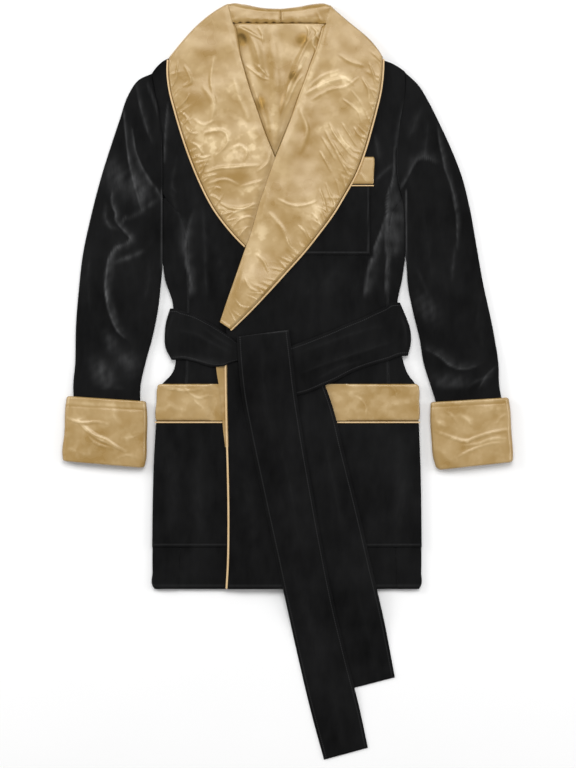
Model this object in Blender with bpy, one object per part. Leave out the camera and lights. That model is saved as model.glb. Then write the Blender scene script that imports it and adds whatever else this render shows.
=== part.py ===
"""A velvet smoking jacket with satin shawl collar, cuffs and pocket bands, laid flat on its back.

Units are metres. +X is the viewer's right, +Y runs to the collar, +Z is up from the floor.
"""

import bpy
import bmesh
import numpy as np
from mathutils import Matrix, Vector

# Driving dimensions
JACKET_LENGTH = 0.900        # neck point to hem
NECK_TO_HEM_PIXELS = 575
PIXEL = JACKET_LENGTH / NECK_TO_HEM_PIXELS
MIDDLE_X = 288.5             # the photo's column that becomes x = 0
MIDDLE_Y = 381.5             # the photo's row that becomes y = 0

VELVET = 0.0024              # velvet with its interlining
SATIN = 0.0018               # satin with its backing
GAP = 0.0003
LAYER_GAP = 0.0005
CORD_RADIUS = 0.0016
FOLD_RADIUS = 0.0037         # half the height of the folded side
BELT_THICKNESS = 0.0026
COLLAR_PAD = 0.0034          # the collar's padding at its fullest

# Heights of the layers above the lifted base
FRONT_LOW = 0.0050
FRONT_TOP = FRONT_LOW + VELVET
LINING_LOW = 0.0028
FACING_LOW = 0.0097
LAP_RISE = 0.0062            # how far the overlapping front is lifted
BELT_LIFT = 0.0030           # the belt runs under the back
COLLAR_LIFT = 0.0022         # the collar's fall lies under the back

BLACK = (0.008, 0.008, 0.009)
GOLD = (0.53, 0.37, 0.16)
PALE_GOLD = (0.62, 0.42, 0.20)


def px(value):
    return (value - MIDDLE_X) * PIXEL


def py(value):
    return (MIDDLE_Y - value) * PIXEL


def places(rows):
    """Photo columns x, y, x, y turned into metres."""
    out = np.array(rows, float)
    out[:, 0::2] = (out[:, 0::2] - MIDDLE_X) * PIXEL
    out[:, 1::2] = (MIDDLE_Y - out[:, 1::2]) * PIXEL
    return out


def ease(t):
    t = np.clip(t, 0, 1)
    return t * t * (3 - 2 * t)


def hermite(at, rows, want):
    """A smooth curve through the rows, read at the wanted places."""
    at = np.asarray(at, float)
    rows = np.asarray(rows, float)
    slope = np.gradient(rows, at, axis=0)
    k = np.clip(np.searchsorted(at, want, side="right") - 1, 0, len(at) - 2)
    step = (at[k + 1] - at[k])[:, None]
    t = ((want - at[k])[:, None]) / step
    return ((2 * t**3 - 3 * t**2 + 1) * rows[k] + (t**3 - 2 * t**2 + t) * step * slope[k]
            + (3 * t**2 - 2 * t**3) * rows[k + 1] + (t**3 - t**2) * step * slope[k + 1])


def along(rows):
    steps = np.linalg.norm(np.diff(rows, axis=0), axis=1)
    return np.concatenate([[0], np.cumsum(steps)])


def smooth(rows, count):
    """The rows read again at even steps, on a smooth curve through them."""
    at = along(rows)
    return hermite(at, rows, np.linspace(0, at[-1], count))


def keyed(rows, want):
    """Columns after the first, read at the wanted values of the first, which falls row by row."""
    rows = np.asarray(rows, float)
    return hermite(-rows[:, 0], rows[:, 1:], -np.asarray(want, float))


# Sides below the underarm: photo row, seam on the front, folded edge, seam under the back
SIDE_RIGHT_PIXELS = [
    (198.2, 165.7, 162.4, 165.8),
    (213, 178.0, 163.0, 186),
    (230, 185.5, 163.2, 198),
    (255, 188.0, 163.5, 206),
    (280, 188.0, 165.2, 211),
    (303, 188.0, 172.6, 213),
    (330, 187.5, 173.0, 214),
    (358, 187.0, 176.2, 214),
    (374, 186.5, 171.6, 213),
    (386, 186.0, 160.6, 212),
    (402, 185.5, 157.6, 211),
    (424, 184.5, 156.2, 210),
    (470, 183.0, 153.8, 209),
    (530, 181.0, 152.6, 208),
    (572, 179.0, 152.4, 207),
    (586.5, 178.6, 152.8, 207),
    (589, 178.5, 154.5, 207),
]
SIDE_LEFT_PIXELS = [
    (198.2, 402.3, 405.6, 402.2),
    (213, 392.0, 405.4, 384),
    (230, 389.5, 405.4, 372),
    (255, 389.5, 405.0, 363),
    (280, 388.0, 402.0, 358),
    (303, 388.0, 397.5, 356),
    (330, 388.0, 400.0, 355),
    (358, 388.0, 402.5, 355),
    (374, 388.3, 408.0, 356),
    (386, 389.0, 416.5, 357),
    (402, 389.7, 418.0, 358),
    (424, 390.5, 418.7, 359),
    (470, 392.5, 420.3, 360),
    (530, 395.0, 421.2, 361),
    (572, 396.5, 421.3, 362),
    (586.5, 397.0, 420.6, 362),
    (589, 397.0, 419.0, 362),
]

# The fronts above the underarm: armhole x, y and the front's inner edge x, y
FRONT_RIGHT_UPPER = [
    (152.0, 73.4, 229, 14),
    (156.5, 99, 231, 36),
    (160.5, 124, 237, 60),
    (162.0, 149, 246, 88),
    (162.0, 174, 257, 118),
    (162.0, 192, 266, 143),
]
FRONT_LEFT_UPPER = [
    (405.0, 72, 329, 30),
    (404.5, 97, 324, 49),
    (400.0, 122, 317, 67),
    (397.0, 147, 309, 86),
    (397.2, 172, 297, 112),
    (401.0, 192, 288, 138),
]
# Their inner edges at the rows of the side tables
FRONT_RIGHT_INNER = [
    (271, 158), (278, 177), (286, 199), (297, 226), (309, 252), (319, 280),
    (328, 312), (333, 345), (334, 368), (334.5, 384), (335, 402), (335, 424),
    (335.5, 470), (336, 530), (336.5, 572), (337, 586.5), (337, 589),
]
FRONT_LEFT_INNER = [
    (281, 157), (274, 177), (266, 199), (258.5, 224), (248, 254), (237.5, 281),
    (226.5, 315), (227.2, 345), (227.4, 370), (227.4, 385), (227.7, 402), (228.2, 424),
    (229.4, 470), (230.1, 530), (229.5, 572), (228.4, 586.5), (228, 589),
]

ROWS_BELOW = np.concatenate([py(np.array([198.2, 205.5, 214, 224])),
                             np.concatenate([np.linspace(py(238), py(352), 8), np.linspace(py(364), py(400), 4)]),
                             np.linspace(py(430), py(565), 4),
                             py(np.array([585.5, 589]))])


def side_table(rows):
    rows = np.array(rows, float)
    rows[:, 0] = py(rows[:, 0])
    rows[:, 1:] = px(rows[:, 1:])
    return rows


SIDE_RIGHT = side_table(SIDE_RIGHT_PIXELS)
SIDE_LEFT = side_table(SIDE_LEFT_PIXELS)
UNDERLAP = np.vstack([places(FRONT_RIGHT_UPPER)[:, 2:], places(FRONT_RIGHT_INNER)])
COLLAR_EDGE_PIXELS = [
    (331, 4), (326, 24), (321, 45), (313, 67), (305, 89), (294, 113), (283.5, 139), (275.5, 159),
    (267, 183), (259, 207), (252, 232), (244, 254), (235, 280), (227, 303), (219.5, 323),
]
COLLAR_EDGE = places(COLLAR_EDGE_PIXELS)


def body_lift(y):
    """How far the body is lifted, by the belt that runs under it and by the collar's fall."""
    belt = ease((0.202 - y) / 0.077) * ease((y + 0.027) / 0.056)
    fall = ease((y - 0.385) / 0.085)
    return BELT_LIFT * belt + COLLAR_LIFT * fall


def lap_lift(x, y):
    """How far the left front is lifted where it lies over the right one."""
    edge = np.interp(-y, -UNDERLAP[:, 1], UNDERLAP[:, 0])
    return LAP_RISE * ease((edge + 0.098 - x) / 0.090)


def right_surface(x, y):
    return body_lift(y) + FRONT_TOP


def left_surface(x, y):
    return body_lift(y) + FRONT_TOP + lap_lift(x, y)


# The largest folds: start x, y, end x, y, half width, height
FOLDS = [
    (181, 222, 188, 268, 0.010, 0.0030),
    (188, 262, 191, 306, 0.009, 0.0034),
    (202, 207, 205, 259, 0.012, 0.0014),
    (385, 219, 371, 256, 0.012, 0.0030),
    (371, 252, 362, 303, 0.014, 0.0036),
    (394, 150, 389, 206, 0.010, 0.0024),
    (388, 206, 387, 300, 0.008, 0.0026),
    (124, 119, 130, 168, 0.012, 0.0032),
    (130, 168, 140, 214, 0.013, 0.0036),
    (147, 90, 160, 130, 0.011, 0.0022),
    (113, 196, 113, 226, 0.011, 0.0034),
    (113, 226, 130, 240, 0.011, 0.0034),
    (130, 240, 109, 262, 0.011, 0.0034),
    (109, 262, 108, 300, 0.012, 0.0040),
    (108, 300, 122, 338, 0.012, 0.0034),
    (122, 338, 96, 362, 0.012, 0.0026),
    (402, 188, 420, 160, 0.010, 0.0030),
    (420, 160, 434, 163, 0.011, 0.0024),
    (443, 150, 456, 210, 0.013, 0.0030),
    (456, 210, 452, 282, 0.013, 0.0032),
    (426, 350, 458, 368, 0.012, 0.0028),
    (458, 370, 478, 366, 0.011, 0.0022),
]


def fold_height(x, y):
    """The height of the folds over the plain cloth."""
    total = np.zeros(np.shape(x))
    for x0, y0, x1, y1, wide, high in FOLDS:
        a = np.array([px(x0), py(y0)])
        b = np.array([px(x1), py(y1)])
        d = b - a
        t = np.clip(((x - a[0]) * d[0] + (y - a[1]) * d[1]) / (d @ d), 0, 1)
        away = np.hypot(x - a[0] - t * d[0], y - a[1] - t * d[1])
        total = np.maximum(total, high * np.exp(-(away / wide) ** 2))
    return total


# Making the objects
for old in list(bpy.data.objects):
    bpy.data.objects.remove(old, do_unlink=True)

jacket = bpy.data.collections.new("smoking_jacket")
bpy.context.scene.collection.children.link(jacket)


def finish(name, bm, colour, roughness):
    bmesh.ops.recalc_face_normals(bm, faces=bm.faces)
    if bm.calc_volume(signed=True) < 0:
        bmesh.ops.reverse_faces(bm, faces=bm.faces)
    mesh = bpy.data.meshes.new(name)
    bm.to_mesh(mesh)
    bm.free()
    return dress(bpy.data.objects.new(name, mesh), colour, roughness)


def dress(obj, colour, roughness):
    material = bpy.data.materials.new(obj.name + "_cloth")
    material.use_nodes = True
    shader = material.node_tree.nodes["Principled BSDF"]
    shader.inputs["Base Color"].default_value = (*colour, 1)
    shader.inputs["Roughness"].default_value = roughness
    shader.inputs["Metallic"].default_value = 0
    obj.data.materials.append(material)
    jacket.objects.link(obj)
    return obj


def sheet(name, top, low, colour, roughness):
    """A closed piece of cloth from two grids of points with the same rows and columns."""
    rows, columns = top.shape[:2]
    bm = bmesh.new()
    bmesh.ops.create_grid(bm, x_segments=columns - 1, y_segments=rows - 1, size=1)
    lower = list(bm.verts)
    made = bmesh.ops.extrude_face_region(bm, geom=list(bm.faces))
    upper = [v for v in made["geom"] if isinstance(v, bmesh.types.BMVert)]
    for verts, points in ((lower, low), (upper, top)):
        for v in verts:
            r = round((v.co.y + 1) / 2 * (rows - 1))
            c = round((v.co.x + 1) / 2 * (columns - 1))
            v.co = Vector(points[r, c])
    return finish(name, bm, colour, roughness)


def tube(name, outer, inner, colour, roughness):
    """A tube of cloth: one ring of outer points and one of inner points a station."""
    stations, count = outer.shape[:2]
    bm = bmesh.new()
    loops = [[bm.verts.new(p) for p in ring] for ring in outer]
    loops += [[bm.verts.new(p) for p in ring] for ring in inner[::-1]]
    loops.append(loops[0])
    for one, two in zip(loops, loops[1:]):
        for i in range(count):
            j = (i + 1) % count
            bm.faces.new((one[i], one[j], two[j], two[i]))
    return finish(name, bm, colour, roughness)


def cord(name, points, radius, colour=PALE_GOLD):
    """A round piping cord through the points."""
    curve = bpy.data.curves.new(name, "CURVE")
    curve.dimensions = "3D"
    curve.bevel_depth = radius
    curve.bevel_resolution = 1
    curve.use_fill_caps = True
    line = curve.splines.new("POLY")
    line.points.add(len(points) - 1)
    for point, place in zip(line.points, points):
        point.co = (*place, 1)
    return dress(bpy.data.objects.new(name, curve), colour, 0.4)


def grid(first, last, shares):
    """Points between two edges: rows along the edges, columns at the given shares across."""
    shares = np.asarray(shares)[None, :, None]
    return first[:, None, :] * (1 - shares) + last[:, None, :] * shares


def raised(plan, z):
    return np.concatenate([plan, z[..., None]], axis=2)


# Back panel
BACK_TOP = places([(152, 73.4), (192.6, 43), (227, 16), (233, 23.8), (281, 24.6),
                   (322, 24.8), (333, 33), (368, 52.5), (405, 72)])
ARMHOLE_RIGHT = smooth(places(FRONT_RIGHT_UPPER), 8)[:, :2]
ARMHOLE_LEFT = smooth(places(FRONT_LEFT_UPPER), 8)[:, :2]
back_rows = [BACK_TOP]
for k, row in enumerate(np.hstack([ARMHOLE_RIGHT, ARMHOLE_LEFT])[1:], start=1):
    share = BACK_TOP[:, 0] - BACK_TOP[0, 0]
    share = share / share[-1]
    x = row[0] + (row[2] - row[0]) * share
    level = row[1] + (row[3] - row[1]) * share
    drop = BACK_TOP[:, 1] - (BACK_TOP[0, 1] + (BACK_TOP[-1, 1] - BACK_TOP[0, 1]) * share)
    back_rows.append(np.stack([x, level + drop * (1 - k / 7) ** 1.3], axis=1))
side_r = keyed(SIDE_RIGHT, ROWS_BELOW)
side_l = keyed(SIDE_LEFT, ROWS_BELOW)
widths = np.linspace(0, 1, 9)
under_y = py(197.4)
back_rows.append(np.stack([px(162.6) + (px(405.4) - px(162.6)) * widths,
                           np.full(9, under_y)], axis=1))
for y, right, left in zip(ROWS_BELOW, side_r, side_l):
    x0 = right[2] + GAP
    x1 = left[2] - GAP
    back_rows.append(np.stack([x0 + (x1 - x0) * widths, np.full(9, y)], axis=1))
back_plan = np.array(back_rows)
back_z = body_lift(back_plan[..., 1])
sheet("back", raised(back_plan, back_z + VELVET), raised(back_plan, back_z), BLACK, 0.9)

# Lining that shows in the neck opening: left and right edge
LINING = places([(229.5, 24.6, 327, 25.4), (229.5, 40, 325, 40), (231, 60, 321, 60),
                 (236, 80, 316, 80), (246, 110, 306, 110), (256, 140, 294, 140),
                 (264, 172, 287, 172)])
edges = smooth(LINING, 10)
lining_plan = grid(edges[:, :2], edges[:, 2:], np.linspace(0, 1, 5))
lining_z = body_lift(lining_plan[..., 1]) + LINING_LOW
sheet("back_lining", raised(lining_plan, lining_z + 0.0012), raised(lining_plan, lining_z),
      GOLD, 0.4)


# Fronts
def front(name, upper, side, inner, surface, colour, toward):
    """One front panel: spokes from the armhole and the side seam to the inner edge."""
    above = smooth(places(upper), 8)
    lip = above[0] * 0.9 + above[1] * 0.1
    seam = np.stack([side[:, 0] + toward * GAP, ROWS_BELOW], axis=1)
    inner_y = hermite(-ROW_KEYS, places(inner), -ROWS_BELOW)
    rows = np.vstack([above[:1], lip[None], above[1:], np.hstack([seam, inner_y])])
    plan = grid(rows[:, :2], rows[:, 2:], np.linspace(0, 1, 10))
    top = surface(plan[..., 0], plan[..., 1])
    low = top - VELVET
    low[:2] = body_lift(plan[:2, :, 1]) + VELVET + GAP + 0.0001
    top[0] -= 0.0012
    top = top + fold_height(plan[..., 0], plan[..., 1]) * fold_mask(plan)
    return sheet(name, raised(plan, top), raised(plan, low), colour, 0.9)


ROW_KEYS = SIDE_RIGHT[:, 0]


def fold_mask(plan):
    """Folds die out under the belt and over the pockets, where other pieces lie."""
    x, y = plan[..., 0], plan[..., 1]
    beside_pocket = np.maximum(ease((x - 0.138) / 0.012), ease((0.176 - y) / 0.020))
    return ease((y - 0.132) / 0.026) * np.where(x > 0, beside_pocket, 1)


front("front_right", FRONT_RIGHT_UPPER, side_r, FRONT_RIGHT_INNER, right_surface, BLACK, 1)
front("front_left", FRONT_LEFT_UPPER, side_l, FRONT_LEFT_INNER, left_surface, BLACK, -1)


# Side panels, folded round the edge: outer and inner points as shares of the fold radius
def side_panel(name, side, toward):
    seam, fold, under = side[:, 0], side[:, 1], side[:, 2]
    lift = body_lift(ROWS_BELOW)
    r = np.minimum(FOLD_RADIUS, np.abs(seam - fold) * 0.8)
    outer = []
    inner = []
    mask = ease((ROWS_BELOW - 0.132) / 0.026)
    for across, out_z, in_x, in_z in (
        (None, 2.0, None, FRONT_LOW),
        ("middle", 2.0, None, FRONT_LOW),
        (1.0, 2.0, 1.05, FRONT_LOW),
        (0.3, 1.72, 0.76, 0.0046),
        (0.0, 1.0, 0.66, 0.0037),
        (0.3, 0.28, 0.76, 0.0028),
        (1.0, 0.0, 1.05, VELVET),
        ("under", 0.0, None, VELVET),
    ):
        if across is None:
            x_out = x_in = seam
        elif across == "middle":
            x_out = x_in = seam * 0.5 + (fold + toward * r * 1.05) * 0.5
        elif across == "under":
            x_out = x_in = under
        else:
            x_out = fold + toward * r * across
            wide = np.abs(seam - fold)
            x_in = fold + toward * np.minimum(FOLD_RADIUS * in_x, wide * (0.55 + 0.3 * in_x))
        z_out = np.full(len(seam), out_z * FOLD_RADIUS)
        if out_z == 2.0:
            z_out = z_out + fold_height(x_out, ROWS_BELOW) * mask
        outer.append(np.stack([x_out, ROWS_BELOW, lift + z_out], axis=1))
        inner.append(np.stack([x_in, ROWS_BELOW, lift + in_z], axis=1))
    return sheet(name, np.array(outer), np.array(inner), BLACK, 0.9)


side_panel("side_right", side_r, 1)
side_panel("side_left", side_l, -1)

# Sleeves: outer edge x, y and inner edge x, y
SLEEVE_RIGHT = [
    (152, 73.2, 161.6, 197), (138, 80.2, 161.5, 206), (128, 95, 161.5, 215), (119, 121, 161.5, 226),
    (109, 151, 161.5, 240), (99.5, 182, 161.8, 256), (91, 215, 161.3, 270), (83, 252, 160.6, 285),
    (78.5, 290, 157.6, 311), (75.5, 330, 151.6, 340), (75, 362, 145.6, 362), (73, 386, 140.5, 386),
    (73.5, 402, 140, 404), (71, 457, 140, 463),
]
SLEEVE_LEFT = [
    (405, 72, 406.2, 197), (419, 85.5, 406.3, 206), (429, 102, 406.3, 215), (441, 126, 406.3, 226),
    (452.4, 151, 406.4, 240), (462.6, 178, 406.6, 254), (470, 208, 407.2, 268), (476.4, 244, 408.4, 288),
    (483.5, 284, 413.5, 313), (493, 328, 420, 340), (498.5, 362, 424, 364), (499.5, 386, 431.5, 388),
    (501.5, 398, 436, 402), (506, 457, 442, 465),
]
SLEEVE_LIFT = 0.0036         # the cuff's wall runs under the sleeve's end
TOP_SHARES = (0.12, 0.25, 0.38, 0.51, 0.64, 0.77, 0.9)


def ring(outer_edge, inner_edge, wall, height, base, bend, crown, folds):
    """Outer and inner points of one flattened section, from its outer edge over the top and back."""
    span = inner_edge - outer_edge
    length = np.linalg.norm(span)
    span = span / length
    half = height / 2
    r = half
    outside = [(0, half), (0.3 * r, 0.86 * height), (r, height)]
    outside += [(r + (length - 2 * r) * s, height) for s in TOP_SHARES]
    outside += [(length - r, height), (length - 0.3 * r, 0.86 * height), (length, half)]
    outside += [(length - 0.3 * r, 0.14 * height), (length - r, 0)]
    outside += [(r + (length - 2 * r) * s, 0) for s in (0.75, 0.5, 0.25)]
    outside += [(r, 0), (0.3 * r, 0.14 * height)]
    low, high = wall, height - wall
    inside = []
    for d, z in outside:
        inside.append((min(max(d, wall), length - wall), min(max(z, low), high)))
    out_points = []
    in_points = []
    for (d, z), (e, w) in zip(outside, inside):
        at = outer_edge + span * d + bend(d / length)
        if z == height:
            share = d / length
            z = z + crown * np.sin(np.pi * share) ** 0.7
            if folds:
                z = z + fold_height(at[0], at[1]) * folds
        out_points.append((*at, base + z))
        at = outer_edge + span * e + bend(e / length)
        in_points.append((*at, base + w))
    return out_points, in_points


def sleeve(name, rows, armhole, away):
    """A set-in sleeve, whose first section follows the armhole."""
    stations = smooth(places(rows), 17)
    hole = armhole
    hole_at = along(hole)
    hole_at = hole_at / hole_at[-1]
    outer, inner = [], []
    for k, row in enumerate(stations):
        fade = max(0.0, 1 - k / 5) ** 1.5

        def bend(share):
            line = row[:2] * (1 - share) + row[2:] * share
            curve = np.array([np.interp(share, hole_at, hole[:, i]) for i in (0, 1)])
            start = stations[0]
            straight = start[:2] * (1 - share) + start[2:] * share
            return (curve - straight) * fade + np.array([away * 0.0019, 0])

        y = row[1] * 0.5 + row[3] * 0.5
        base = SLEEVE_LIFT * ease((0.060 - y) / 0.070)
        plain = ease((y + 0.010) / 0.030)
        points = ring(row[:2], row[2:], VELVET, 2 * FOLD_RADIUS, base, bend, 0.0016 * plain, plain)
        outer.append(points[0])
        inner.append(points[1])
    return tube(name, np.array(outer), np.array(inner), BLACK, 0.9)


sleeve("sleeve_right", SLEEVE_RIGHT, np.vstack([ARMHOLE_RIGHT, places([(161.6, 197)])]), -0.3)
sleeve("sleeve_left", SLEEVE_LEFT, np.vstack([ARMHOLE_LEFT, places([(406.2, 197)])]), 0.8)

# Cuffs: outer edge x, y and inner edge x, y, with the ends drawn in to round the corners
CUFF_RIGHT = [
    (68.6, 396, 144.4, 401), (67.0, 397.2, 146.0, 402.2), (66.2, 401, 146.6, 406),
    (64.4, 432, 147.0, 438), (62.6, 456.6, 145.4, 463.6),
    (63.2, 460, 144.4, 466.8), (65.2, 461.3, 142.4, 468),
]
CUFF_LEFT = [
    (506.4, 397.4, 432.2, 402), (508.4, 398.6, 430.8, 403.2), (509.2, 402.4, 430.4, 407),
    (511.4, 432, 431.4, 440), (513.0, 455.6, 434.4, 462.6),
    (512.6, 460.6, 436.6, 468), (510.8, 462.2, 440.0, 470),
]
CUFF_WALL = 0.0030
CUFF_HEIGHT = 0.0146


def cuff(name, rows):
    outer, inner = [], []
    for row in places(rows):
        points = ring(row[:2], row[2:], CUFF_WALL, CUFF_HEIGHT, 0.0, lambda share: 0, 0.0016, 0)
        outer.append(points[0])
        inner.append(points[1])
    return tube(name, np.array(outer), np.array(inner), GOLD, 0.4)


cuff("cuff_right", CUFF_RIGHT)
cuff("cuff_left", CUFF_LEFT)

# Collar halves: roll line x, y and outer edge x, y
COLLAR_RIGHT = [
    (226.5, 3, 168.5, 58), (233, 24, 168, 72), (236, 42, 170, 90), (242, 64, 175, 110),
    (249, 88, 182, 134), (257, 111, 191, 160), (265, 134, 201, 184), (275, 158, 213.5, 208),
    (286, 183, 229, 229), (298, 208, 246, 247), (304, 222, 254, 254),
]
COLLAR_LEFT = [
    (331, 4, 383, 57), (326, 24, 382.5, 72), (321, 45, 380.5, 90), (313, 67, 376, 110),
    (305, 89, 370.5, 131), (294, 113, 364, 153), (283.5, 139, 355, 176), (275.5, 159, 345, 194),
    (267, 183, 333, 214), (259, 207, 319, 233), (252, 232, 304, 252), (244, 254, 287, 271),
    (235, 280, 268, 292), (227, 303, 249, 312), (220.5, 322.5, 231, 329.5),
]
ACROSS = np.array([0, 0.014, 0.06, 0.2, 0.35, 0.5, 0.65, 0.8, 0.94, 0.986, 1])
FULLNESS = np.array([0.30, 0.66, 0.94, 1.0, 1.0, 1.0, 1.0, 1.0, 0.90, 0.62, 0.36])


# How far the collar's turn over the shoulder bows outwards, and the share of its length where most
RIGHT_BOW = (0.0078, 0.43)
LEFT_BOW = (0.0050, 0.70)


def bowed(spokes, shares, first, bow):
    """Points across the spokes, pushed outwards near the shoulder's turn at the spoke called first."""
    most, peak = bow
    plan = grid(spokes[:, :2], spokes[:, 2:], shares)
    run = spokes[first, 2:] - spokes[first, :2]
    out = np.array([-run[1], run[0]]) / np.linalg.norm(run)
    if out[1] < 0:
        out = -out
    middle = (spokes[:, :2] + spokes[:, 2:]) / 2
    away = np.linalg.norm(middle - middle[first], axis=1)
    fade = ease(1 - away / 0.080)
    swell = np.sin(np.pi * np.asarray(shares) ** (np.log(0.5) / np.log(peak)))
    return plan + most * fade[:, None, None] * swell[None, :, None] * out


def collar(name, rows, count, surface, tapered, bow):
    """A lapel half on its front, with a lip that turns down over the shoulder."""
    spokes = smooth(places(rows), count)
    run = spokes[0, 2:] - spokes[0, :2]
    down = np.array([-run[1], run[0]]) / np.linalg.norm(run)
    if down[1] > 0:
        down = -down
    down = np.tile(down, 2)
    lips = [spokes[0] + down * d for d in (0, 0.0008, 0.0024, 0.0030)]
    spokes = np.vstack([lips, spokes[1:]])
    plan = bowed(spokes, ACROSS, 0, bow)
    x, y = plan[..., 0], plan[..., 1]
    low = surface(x, y) + LAYER_GAP
    padded = SATIN + COLLAR_PAD * FULLNESS[None, :]
    if tapered:
        edge = np.interp(-y, -COLLAR_EDGE[:, 1], COLLAR_EDGE[:, 0])
        hidden = ease((edge - x - 0.001) / 0.022)
        padded = SATIN + COLLAR_PAD * FULLNESS[None, :] * hidden
    else:
        padded = np.tile(padded, (len(plan), 1))
    top = low + padded
    low[:3] = SATIN + GAP
    top[0] = top[0] * 0.62
    top[1] = top[1] * 0.84
    top[-1] -= padded[-1] * 0.35
    return sheet(name, raised(plan, top), raised(plan, low), GOLD, 0.4)


collar("collar_right", COLLAR_RIGHT, 16, right_surface, True, RIGHT_BOW)
collar("collar_left", COLLAR_LEFT, 21, left_surface, False, LEFT_BOW)

# Inside of the collar at the back of the neck: neck seam x, y and roll line x, y
STAND_RIGHT = [(234, 23.0, 229.2, 3.2), (250, 23.2, 246, 5.0), (266, 23.4, 265, 8.0),
               (280.8, 23.6, 280.8, 8.7)]
STAND_LEFT = [(281.2, 23.6, 281.2, 8.7), (296, 23.6, 298, 6.8), (312, 23.8, 315, 3.8),
              (324.6, 24.0, 328.8, 4.2)]
STAND_FULLNESS = np.array([0.30, 0.75, 1.0, 0.92, 0.55, 0.2])


def stand(name, rows):
    spokes = smooth(places(rows), 7)
    plan = grid(spokes[:, :2], spokes[:, 2:], [0, 0.08, 0.35, 0.7, 0.93, 1])
    low = np.full(plan.shape[:2], SATIN + GAP)
    top = low + 0.0016 + 0.0062 * STAND_FULLNESS[None, :]
    return sheet(name, raised(plan, top), raised(plan, low), GOLD, 0.4)


stand("collar_stand_right", STAND_RIGHT)
stand("collar_stand_left", STAND_LEFT)

# The collar's fall under the back: roll line x, y and outer edge x, y
FALL_RIGHT = [(280.8, 8.7, 280.8, 74), (262, 7.6, 243, 72), (243, 4.0, 205, 67), (226.5, 3.0, 168.5, 58)]
FALL_LEFT = [(281.2, 8.7, 281.2, 74), (300, 6.8, 318, 72), (317, 4.4, 350, 66), (331, 4.0, 383, 57)]


def fall(name, rows, bow):
    spokes = smooth(places(rows), 9)
    plan = bowed(spokes, np.linspace(0, 1, 8), -1, bow)
    low = np.zeros(plan.shape[:2])
    return sheet(name, raised(plan, low + SATIN), raised(plan, low), GOLD, 0.4)


fall("collar_fall_right", FALL_RIGHT, RIGHT_BOW)
fall("collar_fall_left", FALL_LEFT, LEFT_BOW)


# Patch pockets and their bands
def fold_x(table, y):
    return keyed(table, np.atleast_1d(y))[:, 1]


BAND_TOP, BAND_END = py(384), py(420.6)
BAND_CORD = py(422.3)
PATCH_TOP, PATCH_END = py(424.2), py(547)
HIDDEN_RIGHT = px(262)
HIDDEN_LEFT = px(316)


def pocket_edges(table, y_values, hidden, out):
    fold = fold_x(table, np.array(y_values))
    rows = []
    for y, x in zip(y_values, fold):
        near = (x + out, y)
        far = (hidden, y)
        rows.append((*near, *far) if out < 0 else (*far, *near))
    return np.array(rows)


patch_y = np.linspace(PATCH_TOP, PATCH_END, 8)
band_y = np.array([BAND_TOP, BAND_TOP - 0.0015, BAND_TOP - 0.006, -0.030, BAND_END + 0.006,
                   BAND_END + 0.0015, BAND_END])
corner = np.array([0.0030, 0.0008, 0, 0, 0, 0.0008, 0.0026])
right_band = pocket_edges(SIDE_RIGHT, band_y, HIDDEN_RIGHT, -0.0012)
right_band[:, 0] = [px(158.4), px(157.9), px(157.4), px(156.6), px(155.6), px(155.6), px(155.6)]
right_band[:, 0] += corner
left_band = pocket_edges(SIDE_LEFT, band_y, HIDDEN_LEFT, 0.0012)
left_band[:, 2] = [px(418.0), px(418.4), px(418.9), px(419.2), px(419.4), px(419.4), px(419.2)]
left_band[:, 2] -= corner


def on_rows(name, edges, columns, surface, low_gap, thick, puff, colour, roughness, hide=None):
    across = np.linspace(0, 1, columns)
    if puff:
        across = np.concatenate([[0, 0.014, 0.05], np.linspace(0.15, 0.85, columns), [0.95, 0.986, 1]])
    plan = grid(edges[:, :2], edges[:, 2:], across)
    low = surface(plan[..., 0], plan[..., 1]) + low_gap
    rise = np.interp(np.minimum(across, 1 - across), [0, 0.014, 0.05], [0.2, 0.8, 1.0])
    steps = np.abs(edges[:, 1] - edges[0, 1])
    near = np.minimum(steps, steps[-1] - steps)
    down = np.interp(near, [0, 0.0015, 0.006], [0.2, 0.75, 1.0])
    full = puff * rise[None, :] * down[:, None]
    if hide is not None:
        full = full * hide(plan[..., 0])
    return sheet(name, raised(plan, low + thick + full), raised(plan, low), colour, roughness)


on_rows("hip_pocket_band_right", right_band, 6, right_surface, LAYER_GAP, 0.0016, 0.0018, GOLD, 0.4,
        hide=lambda x: ease((px(214) - x) / 0.012))
on_rows("hip_pocket_band_left", left_band, 6, left_surface, LAYER_GAP, 0.0016, 0.0018, GOLD, 0.4,
        hide=lambda x: ease((x - px(343)) / 0.012))
on_rows("hip_pocket_right", pocket_edges(SIDE_RIGHT, patch_y, HIDDEN_RIGHT, -0.0004), 6,
        right_surface, LAYER_GAP, 0.0016, 0.0, BLACK, 0.9)
on_rows("hip_pocket_left", pocket_edges(SIDE_LEFT, patch_y, HIDDEN_LEFT, 0.0004), 10,
        left_surface, LAYER_GAP, 0.0016, 0.0, BLACK, 0.9)

# Chest pocket, whose hidden part under the lapel is left out
COLLAR_OUTER = places(COLLAR_LEFT)[:, 2:]


def lapel_x(y):
    return np.interp(-y, -COLLAR_OUTER[:, 1], COLLAR_OUTER[:, 0])


chest_y = np.linspace(py(187.4), py(255), 7)
chest = np.stack([lapel_x(chest_y) + 0.0058, chest_y, np.full(7, px(370)), chest_y], axis=1)
on_rows("chest_pocket", chest, 8, left_surface, LAYER_GAP, 0.0016, 0.0, BLACK, 0.9)
band_at = np.array([py(157), py(157) - 0.0014, py(161), py(171), py(180), py(184) + 0.0014, py(184)])
chest_band = np.stack([lapel_x(band_at) + 0.0058, band_at,
                       px(np.array([373.2, 374.0, 374.4, 374, 373.6, 373.4, 372.8])), band_at], axis=1)
on_rows("chest_pocket_band", chest_band, 3, left_surface, LAYER_GAP, 0.0016, 0.0012, GOLD, 0.4)

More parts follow.
